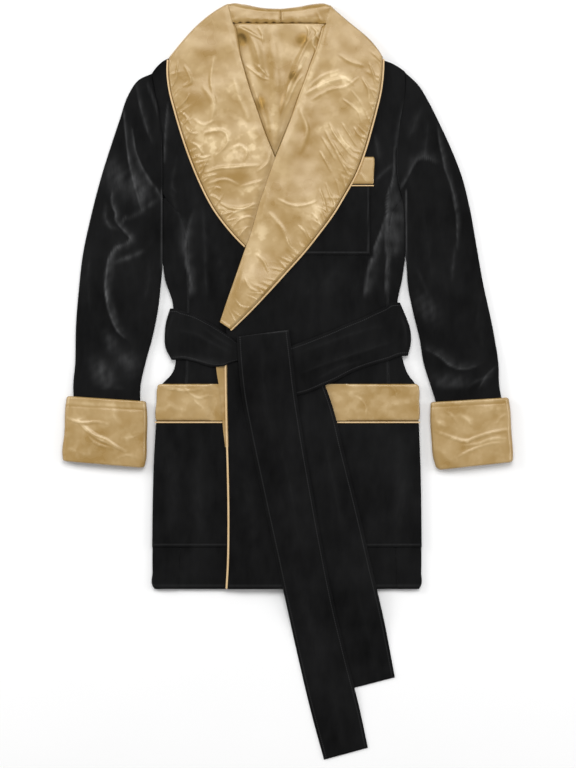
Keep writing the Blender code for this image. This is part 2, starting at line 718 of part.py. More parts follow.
# Facing that shows beside the front edge
FACING = places([(215.5, 360, 232, 360), (217, 374, 232, 374), (219.3, 388, 232, 388),
                 (221.3, 405, 232, 405), (223, 428, 232, 428), (225.2, 447, 232, 447)])
facing_rows = smooth(FACING, 12)
facing_plan = grid(facing_rows[:, :2], facing_rows[:, 2:], [0, 0.35, 1])
facing_z = body_lift(facing_plan[..., 1]) + FACING_LOW
sheet("front_facing", raised(facing_plan, facing_z + 0.0009), raised(facing_plan, facing_z), GOLD, 0.4)


# Piping
def offset_line(points, distance):
    """The line moved sideways, to the left of its own direction when distance is positive."""
    tangent = np.gradient(points, axis=0)
    tangent /= np.linalg.norm(tangent, axis=1)[:, None]
    return points + distance * np.stack([-tangent[:, 1], tangent[:, 0]], axis=1)


def surface_cord(name, line, surface, radius, low_gap=LAYER_GAP):
    z = surface(line[:, 0], line[:, 1]) + low_gap + radius
    return cord(name, np.column_stack([line, z]), radius)


right_edge = smooth(places(COLLAR_RIGHT)[:, 2:], 26)
right_line = offset_line(right_edge, -(CORD_RADIUS + 0.0004))
limit = np.interp(-right_line[:, 1], -COLLAR_EDGE[:, 1], COLLAR_EDGE[:, 0]) - CORD_RADIUS - 0.001
right_line = right_line[(right_line[:, 0] < limit) & (right_line[:, 1] < py(60.5))]
surface_cord("piping_collar_right", right_line, right_surface, CORD_RADIUS)
left_edge = smooth(places(COLLAR_LEFT)[:, 2:], 34)
left_line = offset_line(left_edge, CORD_RADIUS + 0.0004)
left_line = left_line[left_line[:, 1] < py(60)]
surface_cord("piping_collar_left", left_line, left_surface, CORD_RADIUS)

FRONT_CORD = places([(225.4, 352), (225.6, 370), (226, 400), (226.8, 436), (227.8, 470),
                     (228.5, 530), (227.9, 565), (226.6, 589)])
front_line = smooth(FRONT_CORD, 26)
front_z = body_lift(front_line[:, 1]) + 0.0128
cord("piping_front", np.column_stack([front_line, front_z]), CORD_RADIUS)

BAND_CORD_RADIUS = 0.0013
xs = np.linspace(px(155.2), px(216.5), 8)
surface_cord("piping_hip_right", np.stack([xs, np.full(8, BAND_CORD)], axis=1), right_surface,
             BAND_CORD_RADIUS)
xs = np.linspace(px(337.5), px(419.4), 14)
surface_cord("piping_hip_left", np.stack([xs, np.full(14, BAND_CORD)], axis=1), left_surface,
             BAND_CORD_RADIUS)
chest_cord_y = py(185.7)
xs = np.linspace(lapel_x(chest_cord_y) + 0.0058, px(373.4), 6)
surface_cord("piping_chest", np.stack([xs, np.full(6, chest_cord_y)], axis=1), left_surface, 0.0010)

# Belt round the waist: upper edge x, y, lower edge x, y in pixels, and the height of its underside
BELT_RIGHT_TOP = [
    (246, 348, 246, 359, 0.0174), (237, 343, 237, 361, 0.0174), (230, 337, 230, 363, 0.0174),
    (223, 332, 224, 366, 0.0173), (217.5, 328.2, 219.5, 366.6, 0.0162),
    (211, 324, 214.6, 366.8, 0.0147), (203, 319.4, 207, 365.8, 0.0122),
    (192, 314, 196, 362, 0.0111), (180, 310.5, 184, 359.5, 0.0110),
]
BELT_RIGHT_FOLD = [(170, 308.5), (166.4, 320), (164.6, 333), (165.2, 347), (171.5, 360)]
BELT_LEFT_TOP = [
    (385, 307, 387, 361, 0.0113), (374, 312, 376, 364, 0.0127), (364, 317, 366, 367, 0.0144),
    (353, 321.5, 355, 371, 0.0162), (343, 325.6, 345, 375.6, 0.0176), (333, 330, 335, 381, 0.0205),
    (320, 335.2, 322, 386.6, 0.0205), (305, 341, 307, 393, 0.0205), (291, 346, 291, 397, 0.0205),
]
BELT_LEFT_FOLD = [(400, 302.5), (405, 314), (410.5, 330), (410.8, 345), (408, 356)]
BELT_ACROSS = np.linspace(0, 1, 5)
FOLD_STEPS = ((1.6, 1.0), (0.45, 0.86), (0.0, 0.5), (0.45, 0.14), (1.6, 0.0))


def belt_round():
    outer, inner = [], []

    def top_column(row):
        plan = places([row[:4]])[0]
        points = grid(plan[None, :2], plan[None, 2:], BELT_ACROSS)[0]
        low = np.full(len(points), row[4])
        crown = 0.0008 * np.sin(np.pi * BELT_ACROSS)
        outer.append(np.column_stack([points, low + BELT_THICKNESS + crown]))
        inner.append(np.column_stack([points, low]))

    def fold_columns(rows, toward, reverse):
        edge = smooth(places(rows), 5)
        high = 0.0110 + BELT_THICKNESS
        steps = FOLD_STEPS[::-1] if reverse else FOLD_STEPS
        for share, z in steps:
            r = 0.0065
            t = BELT_THICKNESS
            out_x = edge[:, 0] + toward * r * share
            in_x = edge[:, 0] + toward * max(r * share, t)
            outer.append(np.column_stack([out_x, edge[:, 1], np.full(5, high * z)]))
            inner.append(np.column_stack([in_x, edge[:, 1], np.full(5, np.clip(high * z, t, high - t))]))

    def back_column(x):
        y = np.linspace(0.104, 0.034, 5)
        outer.append(np.column_stack([np.full(5, x), y, np.zeros(5)]))
        inner.append(np.column_stack([np.full(5, x), y, np.full(5, BELT_THICKNESS - 0.0001)]))

    for row in BELT_RIGHT_TOP:
        top_column(row)
    fold_columns(BELT_RIGHT_FOLD, 1, False)
    for x in np.linspace(-0.150, 0.150, 7):
        back_column(x)
    fold_columns(BELT_LEFT_FOLD, -1, True)
    for row in BELT_LEFT_TOP:
        top_column(row)
    return sheet("belt_round", np.array(outer), np.array(inner), BLACK, 0.9)


belt_round()

# Belt ends: left edge x, y and right edge x, y
SHORT_END = [
    (256, 360, 309, 352), (268, 385, 322, 378), (281, 415, 333, 408), (291, 455, 342.5, 447),
    (305, 515, 357, 505), (319.5, 577, 371.5, 567), (332, 630, 384, 620), (350.5, 689, 395, 677.5),
]
LONG_END = [
    (237, 337, 289, 330), (238.5, 362, 292, 355), (242, 395, 296, 390), (249, 432, 302, 430),
    (260.5, 486, 310, 478), (275, 552, 322, 545), (288, 612, 334, 605), (300, 666, 347.5, 661),
    (311, 712, 359, 706), (324, 760, 368, 748),
]
END_ACROSS = np.array([0, 0.025, 0.1, 0.36, 0.64, 0.9, 0.975, 1])
END_FULLNESS = np.array([0.35, 0.78, 1, 1, 1, 1, 0.78, 0.35])
# Height of the underside: y, short end, long end's left edge, long end over the short end
END_HEIGHTS = np.array([
    (0.080, 0.0171, 0.0246, 0.0246),
    (0.018, 0.0172, 0.0246, 0.0246),
    (-0.030, 0.0173, 0.0180, 0.0246),
    (-0.060, 0.0172, 0.0144, 0.0206),
    (-0.262, 0.0169, 0.0143, 0.0201),
    (-0.290, 0.0147, 0.0143, 0.0178),
    (-0.328, 0.0143, 0.0143, 0.0174),
    (-0.355, 0.0092, 0.0092, 0.0126),
    (-0.385, 0.0030, 0.0030, 0.0064),
    (-0.415, 0.0000, 0.0000, 0.0031),
    (-0.486, 0.0000, 0.0000, 0.0031),
    (-0.535, 0.0000, 0.0000, 0.0000),
    (-0.600, 0.0000, 0.0000, 0.0000),
])


def end_height(y, column):
    return np.interp(-y, -END_HEIGHTS[:, 0], END_HEIGHTS[:, column])


def end_rows(rows, count):
    spokes = smooth(places(rows), count)
    tip = spokes[-1] - spokes[-2]
    tip = tip / np.linalg.norm(tip[:2])
    return np.vstack([spokes[:-1], spokes[-1] - tip * 0.003, spokes[-1]])


def belt_end(name, rows, count, height):
    spokes = end_rows(rows, count)
    plan = grid(spokes[:, :2], spokes[:, 2:], END_ACROSS)
    low = height(plan[..., 0], plan[..., 1])
    thick = 0.0008 + (BELT_THICKNESS - 0.0008) * np.tile(END_FULLNESS, (len(plan), 1))
    thick[-1] *= 0.5
    return plan, low, low + thick


plan, low, top = belt_end("belt_end_short", SHORT_END, 27, lambda x, y: end_height(y, 1))
sheet("belt_end_short", raised(plan, top), raised(plan, low), BLACK, 0.9)

SHORT_LEFT = places(SHORT_END)[:, :2]


def long_height(x, y):
    edge = np.interp(-y, -SHORT_LEFT[:, 1], SHORT_LEFT[:, 0])
    over = ease((x - edge + 0.036) / 0.030)
    return end_height(y, 2) * (1 - over) + end_height(y, 3) * over


# The long end starts with a lip that turns down behind the tie
long_rows = list(LONG_END)
plan, low, top = belt_end("belt_end_long", long_rows, 34, long_height)
down = np.array([plan[1, c] - plan[0, c] for c in range(plan.shape[1])])
down = down / np.linalg.norm(down, axis=1)[:, None]
lips = np.array([plan[0] + down * d for d in (0, 0.0010, 0.0036, 0.0042)])
lip_low = np.full((4, plan.shape[1]), 0.0171)
lip_low[3] = low[0]
lip_top = np.array([low[0] - 0.0010, low[0] + 0.0016, top[0] + 0.0004, top[0] + 0.0006])
plan = np.concatenate([lips, plan[1:]])
low = np.concatenate([lip_low, low[1:]])
top = np.concatenate([lip_top, top[1:]])
sheet("belt_end_long", raised(plan, top), raised(plan, low), BLACK, 0.9)

# Centre the whole jacket over the origin
meshes = [obj for obj in jacket.objects if obj.type == "MESH"]
corners = np.array([v.co[:] for obj in meshes for v in obj.data.vertices])
middle = (corners.min(axis=0) + corners.max(axis=0)) / 2
shift = Matrix.Translation((-middle[0], -middle[1], -corners[:, 2].min()))
for obj in jacket.objects:
    obj.data.transform(shift)
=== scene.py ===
# %% [markdown]
# # A smoking jacket laid flat
# The jacket is black velvet with a gold satin shawl collar, turned-back satin cuffs, satin pocket
# bands, a fine gold piping and its own velvet belt. It lies on its back on a pale floor and is seen
# from straight above. The imported solids give every piece its place and size. This script gives each
# piece its cloth: the pile, the sheen, the creases, the seams and the stitching, with the light and
# shade of its creases and seams painted into its colour.

import bmesh
import bpy
import numpy as np
from mathutils import Matrix, Vector


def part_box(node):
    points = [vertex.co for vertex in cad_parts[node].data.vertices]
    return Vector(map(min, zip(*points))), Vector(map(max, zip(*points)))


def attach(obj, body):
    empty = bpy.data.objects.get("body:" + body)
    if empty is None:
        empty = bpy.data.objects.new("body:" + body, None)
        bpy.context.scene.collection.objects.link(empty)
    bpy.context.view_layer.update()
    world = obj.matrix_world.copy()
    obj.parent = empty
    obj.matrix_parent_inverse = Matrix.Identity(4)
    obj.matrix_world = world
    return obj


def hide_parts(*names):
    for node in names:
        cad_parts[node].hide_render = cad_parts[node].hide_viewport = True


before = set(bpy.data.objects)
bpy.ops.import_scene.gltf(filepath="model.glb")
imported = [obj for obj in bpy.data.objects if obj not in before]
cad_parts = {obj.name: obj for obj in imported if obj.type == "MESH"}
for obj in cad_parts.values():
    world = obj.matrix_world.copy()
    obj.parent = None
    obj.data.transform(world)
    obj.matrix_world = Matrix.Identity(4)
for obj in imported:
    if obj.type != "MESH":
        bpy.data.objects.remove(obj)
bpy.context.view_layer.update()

# %% [markdown]
# ## One set of coordinates
# Every outline was measured as columns and rows of the photo. One scale turns them into metres, so
# that a table can be checked against the picture by eye. The neck point to the hem is 575 rows, and
# a men's jacket of this cut is 900 mm long there. The solids were centred on the origin afterwards,
# so the same small shift is kept here.

# %% From photo places to metres
PHOTO_COLUMNS, PHOTO_ROWS = 576, 768
PIXEL = 0.900 / 575
MIDDLE_X, MIDDLE_Y = 288.5, 381.5
NECK_SEAM_COLUMN, HEM_ROW = 280.8, 589.0
HEM_STITCH_ROW = 585.2


def px(value):
    return (np.asarray(value, float) - MIDDLE_X) * PIXEL


def py(value):
    return (MIDDLE_Y - np.asarray(value, float)) * PIXEL


SHIFT = np.array([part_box("collar_stand_right")[1][0] - float(px(NECK_SEAM_COLUMN)),
                  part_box("back")[0][1] - float(py(HEM_ROW)), 0.0])


def places(rows):
    """Rows of x, y, x, y in photo places, as metres."""
    out = np.array(rows, float)
    out[:, 0::2] = px(out[:, 0::2])
    out[:, 1::2] = py(out[:, 1::2])
    return out


print("shift in mm:", np.round(SHIFT * 1000, 2).tolist())
print("the shoulders are", round(float(px(432) - px(128)) * 1000), "mm wide")


# %% Soft steps and smooth curves
def ease(t):
    """A soft step from 0 to 1."""
    t = np.clip(t, 0, 1)
    return t * t * (3 - 2 * t)


def bell(away, reach):
    """1 at no distance, falling softly to almost nothing at twice the reach."""
    return np.exp(-(away / reach) ** 2)


def rounded(away, reach):
    """0 at an edge, rising like a quarter circle to 1 at the reach."""
    return np.sqrt(np.clip(1 - (1 - np.clip(away / reach, 0, 1)) ** 2, 0, 1))


def unit(rows):
    """Each row brought to length 1."""
    return rows / np.linalg.norm(rows, axis=1)[:, None]


def edge_x(table, y, column=0):
    """The x of an edge at that height: a column of x, with the y in the next one."""
    return np.interp(-y, -table[:, column + 1], table[:, column])


def hermite(at, rows, want):
    """A smooth curve through the rows, read at the wanted places."""
    at, rows, want = (np.asarray(a, float) for a in (at, rows, want))
    slope = np.gradient(rows, at, axis=0)
    k = np.clip(np.searchsorted(at, want, side="right") - 1, 0, len(at) - 2)
    shape = (-1,) + (1,) * (rows.ndim - 1)
    step = (at[k + 1] - at[k]).reshape(shape)
    t = (want - at[k]).reshape(shape) / step
    return ((2 * t**3 - 3 * t**2 + 1) * rows[k] + (t**3 - 2 * t**2 + t) * step * slope[k]
            + (3 * t**2 - 2 * t**3) * rows[k + 1] + (t**3 - t**2) * step * slope[k + 1])


def along(rows):
    """The distance run from the first row to each row."""
    return np.concatenate([[0], np.cumsum(np.linalg.norm(np.diff(rows, axis=0), axis=1))])


def smooth(rows, count):
    """The rows read again at even steps on a smooth curve through them."""
    at = along(rows)
    return hermite(at, rows, np.linspace(0, at[-1], count))


def between(first, last, shares):
    """A grid of places from one edge to the other."""
    shares = np.asarray(shares)[None, :, None]
    return first[:, None, :] * (1 - shares) + last[:, None, :] * shares


def keyed(rows, want):
    """The later columns, read where the first one, which falls row by row, has those values."""
    return hermite(-rows[:, 0], rows[:, 1:], -np.asarray(want, float))


print("half of a soft step:", float(ease(0.5)), "and a quarter:", float(ease(0.25)))

# %% [markdown]
# ## How high each layer lies
# A jacket laid flat is a stack of thin layers: back, lining, the front underneath, the front on
# top, the lapel on it, and the belt over all. The heights are worked out once, as functions of the
# place, and every piece is laid on the one below it.

# %% The heights of the stack
VELVET, SATIN, LAYER = 0.0024, 0.0018, 0.0005  # walls, and the gap between two layers
FRONT_TOP = 0.0074        # the face of the front underneath
LAP_RISE = 0.0062         # how far the overlapping front is lifted
BELT_LIFT = 0.0030        # the belt runs under the back
FALL_LIFT = 0.0022        # so does the part of the collar that turned over
COLLAR_PAD = 0.0034       # the lapels' padding at its fullest
LINING_LOW = 0.0028       # the underside of the lining, where the lapels press it down
SEAM_GAP = 0.0003         # between two pieces that are sewn edge to edge
# columns and rows of the photo down the inner edge of the front underneath
UNDERLAP = places([
    (229, 14), (231, 36), (237, 60), (246, 88), (257, 118), (266, 143),
    (271, 158), (278, 177), (286, 199), (297, 226), (309, 252), (319, 280),
    (328, 312), (333, 345), (334, 368), (334.5, 384), (335, 402), (335, 424),
    (335.5, 470), (336, 530), (336.5, 572), (337, 586.5), (337, 589),
])


def body_lift(y):
    """The belt and the collar's fall run under the back and lift it a little."""
    belt = ease((0.202 - y) / 0.077) * ease((y + 0.027) / 0.056)
    return BELT_LIFT * belt + FALL_LIFT * ease((y - 0.385) / 0.085)


def right_surface(x, y):
    """The top of the front that lies underneath, at the viewer's left, the same at every x."""
    return body_lift(y) + FRONT_TOP


def left_surface(x, y):
    """The top of the front that laps over it."""
    edge = edge_x(UNDERLAP, y)
    return body_lift(y) + FRONT_TOP + LAP_RISE * ease((edge + 0.098 - x) / 0.090)


print("overlapping front:", round(float(left_surface(0.0, -0.2)) * 1000, 1), "mm high")

# %% [markdown]
# ## Folds and wrinkles
# Cloth creases in lines that start somewhere, grow and die out. Each one is written down as a short
# line of photo places with a half width and a height in millimetres and the light it catches, as it
# was seen, so no two are alike. That light is painted into the cloth's colour: a highlight, or shade
# where it is below zero. The lean makes one flank steeper than the other and the painted light wider
# on one side. Between these lines a faint waviness keeps large areas from looking like card. It
# comes from a fixed sum of waves, so each run gives the same cloth.

# %% Crease lines and waviness
def creases(x, y, rows):
    """The height of all the creases at each place, and the light that they catch there, to be painted
    into the colour.
    """
    height = np.zeros(np.shape(x))
    light = np.zeros(np.shape(x))
    for wide, high, bright, lean, *line in rows:
        points = smooth(places(np.array(line).reshape(-1, 2)), 12)
        run = along(points)
        best = np.full(np.shape(x), 1e9)
        side = np.zeros(np.shape(x))
        share = np.zeros(np.shape(x))
        for k in range(len(points) - 1):
            a, d = points[k], points[k + 1] - points[k]
            t = np.clip(((x - a[0]) * d[0] + (y - a[1]) * d[1]) / (d @ d), 0, 1)
            dx, dy = x - a[0] - t * d[0], y - a[1] - t * d[1]
            away = np.hypot(dx, dy)
            near = away < best
            best = np.where(near, away, best)
            side = np.where(near, np.sign(d[0] * dy - d[1] * dx), side)
            share = np.where(near, (run[k] + t * np.linalg.norm(d)) / run[-1], share)
        grow = np.sin(np.pi * np.clip(share * 0.92 + 0.04, 0, 1)) ** 0.6
        reach = wide / 1000 * (1 + lean * side) * (0.75 + 0.25 * grow)
        height += high / 1000 * grow * bell(best, reach)
        glow = wide / 1000 * (0.85 + 0.55 * np.sign(lean) * side) * (0.7 + 0.3 * grow)
        halo = bell(best, glow)
        core = bell(best, min(0.0014, 0.4 * wide / 1000))
        sharp = high and wide < 10
        light += 0.55 * bright * grow * (halo + core if sharp else 1.8 * halo)
    return height, light


def waves(x, y, length, seed, stretch=(1.0, 1.0)):
    """A gentle waviness between -1 and 1 with waves of about that length."""
    rng = np.random.default_rng(seed)
    total = np.zeros(np.shape(x))
    for _ in range(9):
        angle = rng.uniform(0, 2 * np.pi)
        k = 2 * np.pi / (length * rng.uniform(0.6, 1.7))
        phase = rng.uniform(0, 2 * np.pi)
        path = x * stretch[0] * np.cos(angle) + y * stretch[1] * np.sin(angle)
        total += np.sin(k * path + phase)
    return total / 4.2


print("one wave:", np.round(waves(np.linspace(0, 0.1, 4), np.zeros(4), 0.05, 3), 2).tolist())

# %% [markdown]
# ## Making a piece of cloth
# A sheet of cloth has a top, an underside and a thin rim. It could be a plane with a Solidify
# modifier. Here a grid is extruded once, which closes it, and then each point moves to its place
# in two tables, one for the top and one for the underside. That way the underside can lie flat on
# the layer below while the top is padded. A sleeve or a cord is the same grid rolled up until its
# last column meets the first, where the doubles are merged.

# %% A grid, and a sheet made from it
def grid_mesh(rows, columns, extruded):
    """A grid as a bmesh. When it is extruded the copy stands one unit higher."""
    bm = bmesh.new()
    bmesh.ops.create_grid(bm, x_segments=columns - 1, y_segments=rows - 1, size=1)
    if extruded:
        made = bmesh.ops.extrude_face_region(bm, geom=bm.faces[:])
        upper = [v for v in made["geom"] if isinstance(v, bmesh.types.BMVert)]
        bmesh.ops.translate(bm, verts=upper, vec=(0, 0, 1))
    return bm


def settle(name, bm, top, low, maps, merge):
    """Moves each point of the grid to its place in the tables and closes the piece."""
    mesh = bpy.data.meshes.new(name)
    bm.to_mesh(mesh)
    bm.free()
    rows, columns = top.shape[:2]
    at = np.empty(len(mesh.vertices) * 3)
    mesh.vertices.foreach_get("co", at)
    at = at.reshape(-1, 3)
    r = np.rint((at[:, 1] + 1) / 2 * (rows - 1)).astype(int)
    c = np.rint((at[:, 0] + 1) / 2 * (columns - 1)).astype(int)
    upper = at[:, 2:] > 0.5
    points = np.where(upper, top[r, c], low[r, c]) + SHIFT
    mesh.vertices.foreach_set("co", points.ravel())
    corner = np.empty(len(mesh.loops), int)
    mesh.loops.foreach_get("vertex_index", corner)
    layer = mesh.uv_layers.new(name="cloth")
    layer.data.foreach_set("uv", maps[r, c][corner].ravel())
    bm = bmesh.new()
    bm.from_mesh(mesh)
    if merge:
        bmesh.ops.remove_doubles(bm, verts=bm.verts, dist=1e-6)
    bmesh.ops.recalc_face_normals(bm, faces=bm.faces)
    if bm.calc_volume(signed=True) < 0:
        bmesh.ops.reverse_faces(bm, faces=bm.faces)
    bm.to_mesh(mesh)
    bm.free()
    mesh.polygons.foreach_set("use_smooth", [True] * len(mesh.polygons))
    mesh.set_sharp_from_angle(angle=1.1)
    piece = bpy.data.objects.new(name, mesh)
    bpy.context.scene.collection.objects.link(piece)
    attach(piece, "root")
    return piece


def raised(plan, z):
    """The plan with its heights as the third coordinate."""
    return np.concatenate([plan, np.asarray(z)[..., None]], axis=2)


def sheet(name, top, low, maps=None):
    """A closed sheet. The map, in metres, is the plan itself unless one is given."""
    maps = top[..., :2] if maps is None else maps
    return settle(name, grid_mesh(*top.shape[:2], True), top, low, maps, False)


def fine(length, step):
    return max(3, int(round(length / (step * 1))) + 1)


print("a 0.9 m panel gets", fine(0.9, 0.003), "rows")


# %% Tubes and cords
CORD_SIDES = 12


def tube(name, outer, inner, maps):
    """A tube with a wall: rings of outer points, then the inner ones back again."""
    rings = np.concatenate([outer, inner[::-1], outer[:1]])
    rings = np.concatenate([rings, rings[:, :1]], axis=1)
    maps = np.concatenate([maps, maps[::-1], maps[:1]])
    maps = np.concatenate([maps, maps[:, :1]], axis=1)
    return settle(name, grid_mesh(*rings.shape[:2], False), rings, rings, maps, True)


def cord(name, line, radius):
    """A round cord along a line, closed by a small rounded cap at each end."""
    tangent = unit(np.gradient(line, axis=0))
    beside = unit(np.cross(tangent, [0, 0, 1.0]))
    above = np.cross(beside, tangent)
    out = radius * np.array([[0.95], [0.75]])
    wide = radius * np.concatenate([[0.02, 0.65], np.ones(len(line)), [0.65, 0.02]])
    line = np.vstack([line[0] - tangent[0] * out, line, line[-1] + tangent[-1] * out[::-1]])
    beside, above = (np.vstack([side[:1], side[:1], side, side[-1:], side[-1:]])[:, None]
                     for side in (beside, above))
    turn = np.linspace(0, 2 * np.pi, CORD_SIDES + 1)
    round_it = turn[None, :, None]
    ring = beside * np.cos(round_it) + above * np.sin(round_it)
    rings = line[:, None] + wide[:, None, None] * ring
    maps = np.stack(np.meshgrid(turn * radius, along(line)), axis=-1)
    piece = settle(name, grid_mesh(len(line), CORD_SIDES + 1, False), rings, rings, maps, True)
    bm = bmesh.new()
    bm.from_mesh(piece.data)
    bmesh.ops.holes_fill(bm, edges=[e for e in bm.edges if e.is_boundary], sides=0)
    bmesh.ops.recalc_face_normals(bm, faces=bm.faces)
    bm.to_mesh(piece.data)
    bm.free()
    return piece


print("a cord's ring has", CORD_SIDES, "sides")

# %% [markdown]
# ## Writing the cloths' finishes
# A finish is a graph of shader nodes. Written as Python expressions it stays short: one small class
# wraps a socket, so that adding or multiplying two of them adds the node for it, and one method
# makes any other node.

# %% A small way to write shader maths
class Wire:
    """The output of a node. Adding, taking away and multiplying make Math nodes."""

    def __init__(self, finish, socket):
        self.finish, self.socket = finish, socket

    def maths(self, operation, *values):
        settings = {"operation": operation}
        return self.finish.node("ShaderNodeMath", settings, dict(enumerate(values)))

    def __add__(self, other):
        return self.maths("ADD", self, other)

    def __sub__(self, other):
        return self.maths("SUBTRACT", self, other)

    def __rsub__(self, other):
        return self.maths("SUBTRACT", other, self)

    def __mul__(self, other):
        return self.maths("MULTIPLY", self, other)

    __radd__ = __add__
    __rmul__ = __mul__

    def fraction(self):
        return self.maths("FRACT", self)

    def near(self, place, reach):
        """1 at the place, falling to 0 at the reach."""
        return self.finish.step(self.maths("ABSOLUTE", self - place), reach, 0.0)


class Finish:
    """One material and its nodes."""

    def __init__(self, name):
        self.material = bpy.data.materials.new(name)
        self.material.use_nodes = True
        self.tree = self.material.node_tree
        self.tree.nodes.clear()

    def node(self, kind, settings=None, sockets=None, out=0):
        made = self.tree.nodes.new(kind)
        for key, value in (settings or {}).items():
            setattr(made, key, value)
        for key, value in (sockets or {}).items():
            if isinstance(value, Wire):
                self.tree.links.new(value.socket, made.inputs[key])
            elif isinstance(value, tuple) and len(value) == 3 and made.inputs[key].type == "RGBA":
                made.inputs[key].default_value = (*value, 1)
            else:
                made.inputs[key].default_value = value
        return Wire(self, made.outputs[out]) if made.outputs else None

    def colour(self, share, first, second):
        """A colour that runs from the first to the second."""
        return self.node("ShaderNodeMix", {"data_type": "RGBA"}, {0: share, 6: first, 7: second}, 2)

    def noise(self, where, scale, detail=2.0, rough=0.5):
        return self.node("ShaderNodeTexNoise", None,
                         {"Vector": where, "Scale": scale, "Detail": detail, "Roughness": rough})

    def spread(self, where, size):
        """The places stretched by three sizes, for a pattern longer one way than the other."""
        return self.node("ShaderNodeVectorMath", {"operation": "MULTIPLY"}, {0: where, 1: size})

    def step(self, value, first, last):
        """A soft step from 0 at the first value to 1 at the last."""
        return self.node("ShaderNodeMapRange", {"interpolation_type": "SMOOTHSTEP"},
                         {0: value, 1: first, 2: last, 3: 0.0, 4: 1.0})

    def bump(self, height, distance, strength=1.0, after=None):
        sockets = {"Height": height, "Distance": distance, "Strength": strength}
        if after is not None:
            sockets["Normal"] = after
        return self.node("ShaderNodeBump", None, sockets)

    def done(self, **sockets):
        names = {key: key.replace("_", " ") for key in sockets}
        shader = self.node("ShaderNodeBsdfPrincipled", None,
                           {names[key]: value for key, value in sockets.items()})
        self.node("ShaderNodeOutputMaterial", None, {"Surface": shader})
        print("finish:", self.material.name, len(self.tree.nodes), "nodes")
        return self.material


# %% [markdown]
# ## Black velvet
# Velvet is a short upright pile. It swallows light seen from above and glows grey where the cloth
# turns away or where the pile was brushed, so it shows light along its creases. The sheen of the
# shader gives the glow on slopes. Soft patches of a lighter black stand for brushed pile, and a
# very fine grain for the pile's tips. Each piece carries a value of painted light: the light of its
# creases, seams and stitches, painted into the colour as grey highlights.

# %% The velvet
# The lighter grey is reached mostly by painted crease highlights, and a little by random tone
PILE_DARK, PILE_TONE_AND_HIGHLIGHT = (0.0022, 0.0022, 0.0023), (0.105, 0.106, 0.108)
BELT_WIDTH = 0.071
STITCH_INSET, STITCH_REACH, STITCH_LENGTH = 0.0042, 0.0009, 0.0032


def velvet_finish(name, stitched):
    finish = Finish(name)
    where = finish.node("ShaderNodeTexCoord", None, None, 3)
    nap = finish.node("ShaderNodeAttribute", {"attribute_name": "nap"}, None, 2)
    patches = finish.noise(where, 9.0, 3.0, 0.6)
    brushed = finish.noise(finish.spread(where, (60.0, 22.0, 60.0)), 1.0, 3.0, 0.6)
    pile = finish.noise(where, 1500.0, 2.0, 0.7)
    ruffled = finish.noise(finish.spread(where, (190.0, 70.0, 190.0)), 1.0, 3.0, 0.7)
    # Painted highlights: the painted crease light lifts the black towards grey; the patches and the
    # brushed noise add random tone
    light = nap * (0.2 + ruffled * 1.5) + (patches - 0.5) * 0.12 + (brushed - 0.5) * 0.08
    base = finish.colour(light + 0.045, PILE_DARK, PILE_TONE_AND_HIGHLIGHT)
    height = pile
    if stitched:
        cloth = finish.node("ShaderNodeUVMap", {"uv_map": "cloth"}, None)
        across, run = (finish.node("ShaderNodeSeparateXYZ", None, {0: cloth}, out)
                       for out in (0, 1))
        far_side = BELT_WIDTH - STITCH_INSET
        line, groove = (across.near(STITCH_INSET, reach) + across.near(far_side, reach)
                        for reach in (STITCH_REACH, 2 * STITCH_REACH))
        thread = line * (run * (1 / STITCH_LENGTH)).fraction().near(0.5, 0.42)
        # The stitch thread is painted a lighter grey than the pile: real thread, with the highlight
        # it catches painted in
        base = finish.colour(thread * (0.4 + ruffled), base, (0.050, 0.050, 0.051))
        height = pile + thread * 2.0 - groove * 1.5
    bumped = finish.bump(height, 0.00025, 0.5)
    return finish.done(Base_Color=base, Roughness=0.9, Normal=bumped, Specular_IOR_Level=0.06,
                       Sheen_Weight=0.12, Sheen_Roughness=0.30, Sheen_Tint=(0.84, 0.85, 0.88, 1))


velvet = velvet_finish("black_velvet", False)
belt_velvet = velvet_finish("black_velvet_topstitched", True)

# %% [markdown]
# ## Gold satin
# Satin has long threads floating on its face, so it shines along each fold and shows every pucker.
# Its colour is even, and what looks like pattern is light. The finish paints small glints into the
# colour at random spots, and has a soft liquid relief and a fine thread relief that runs one way. A
# value on each piece paints the light and shade of the creases into the colour. Where it is far below
# zero the colour is painted shade: it deepens to brown, and the surface turns metallic so that it
# tints what it reflects.

# %% The satins
# The pale end of each range is the colour of painted highlights and of paler random tone; the hollow
# colour is painted brown shade
GOLD_LOW, GOLD_TONE_AND_HIGHLIGHT = (0.325, 0.192, 0.050), (0.74, 0.57, 0.33)
GOLD_PAINTED_SHADE = (0.225, 0.134, 0.036)
PIPING_LOW, PIPING_TONE_AND_HIGHLIGHT = (0.66, 0.45, 0.22), (0.80, 0.60, 0.36)


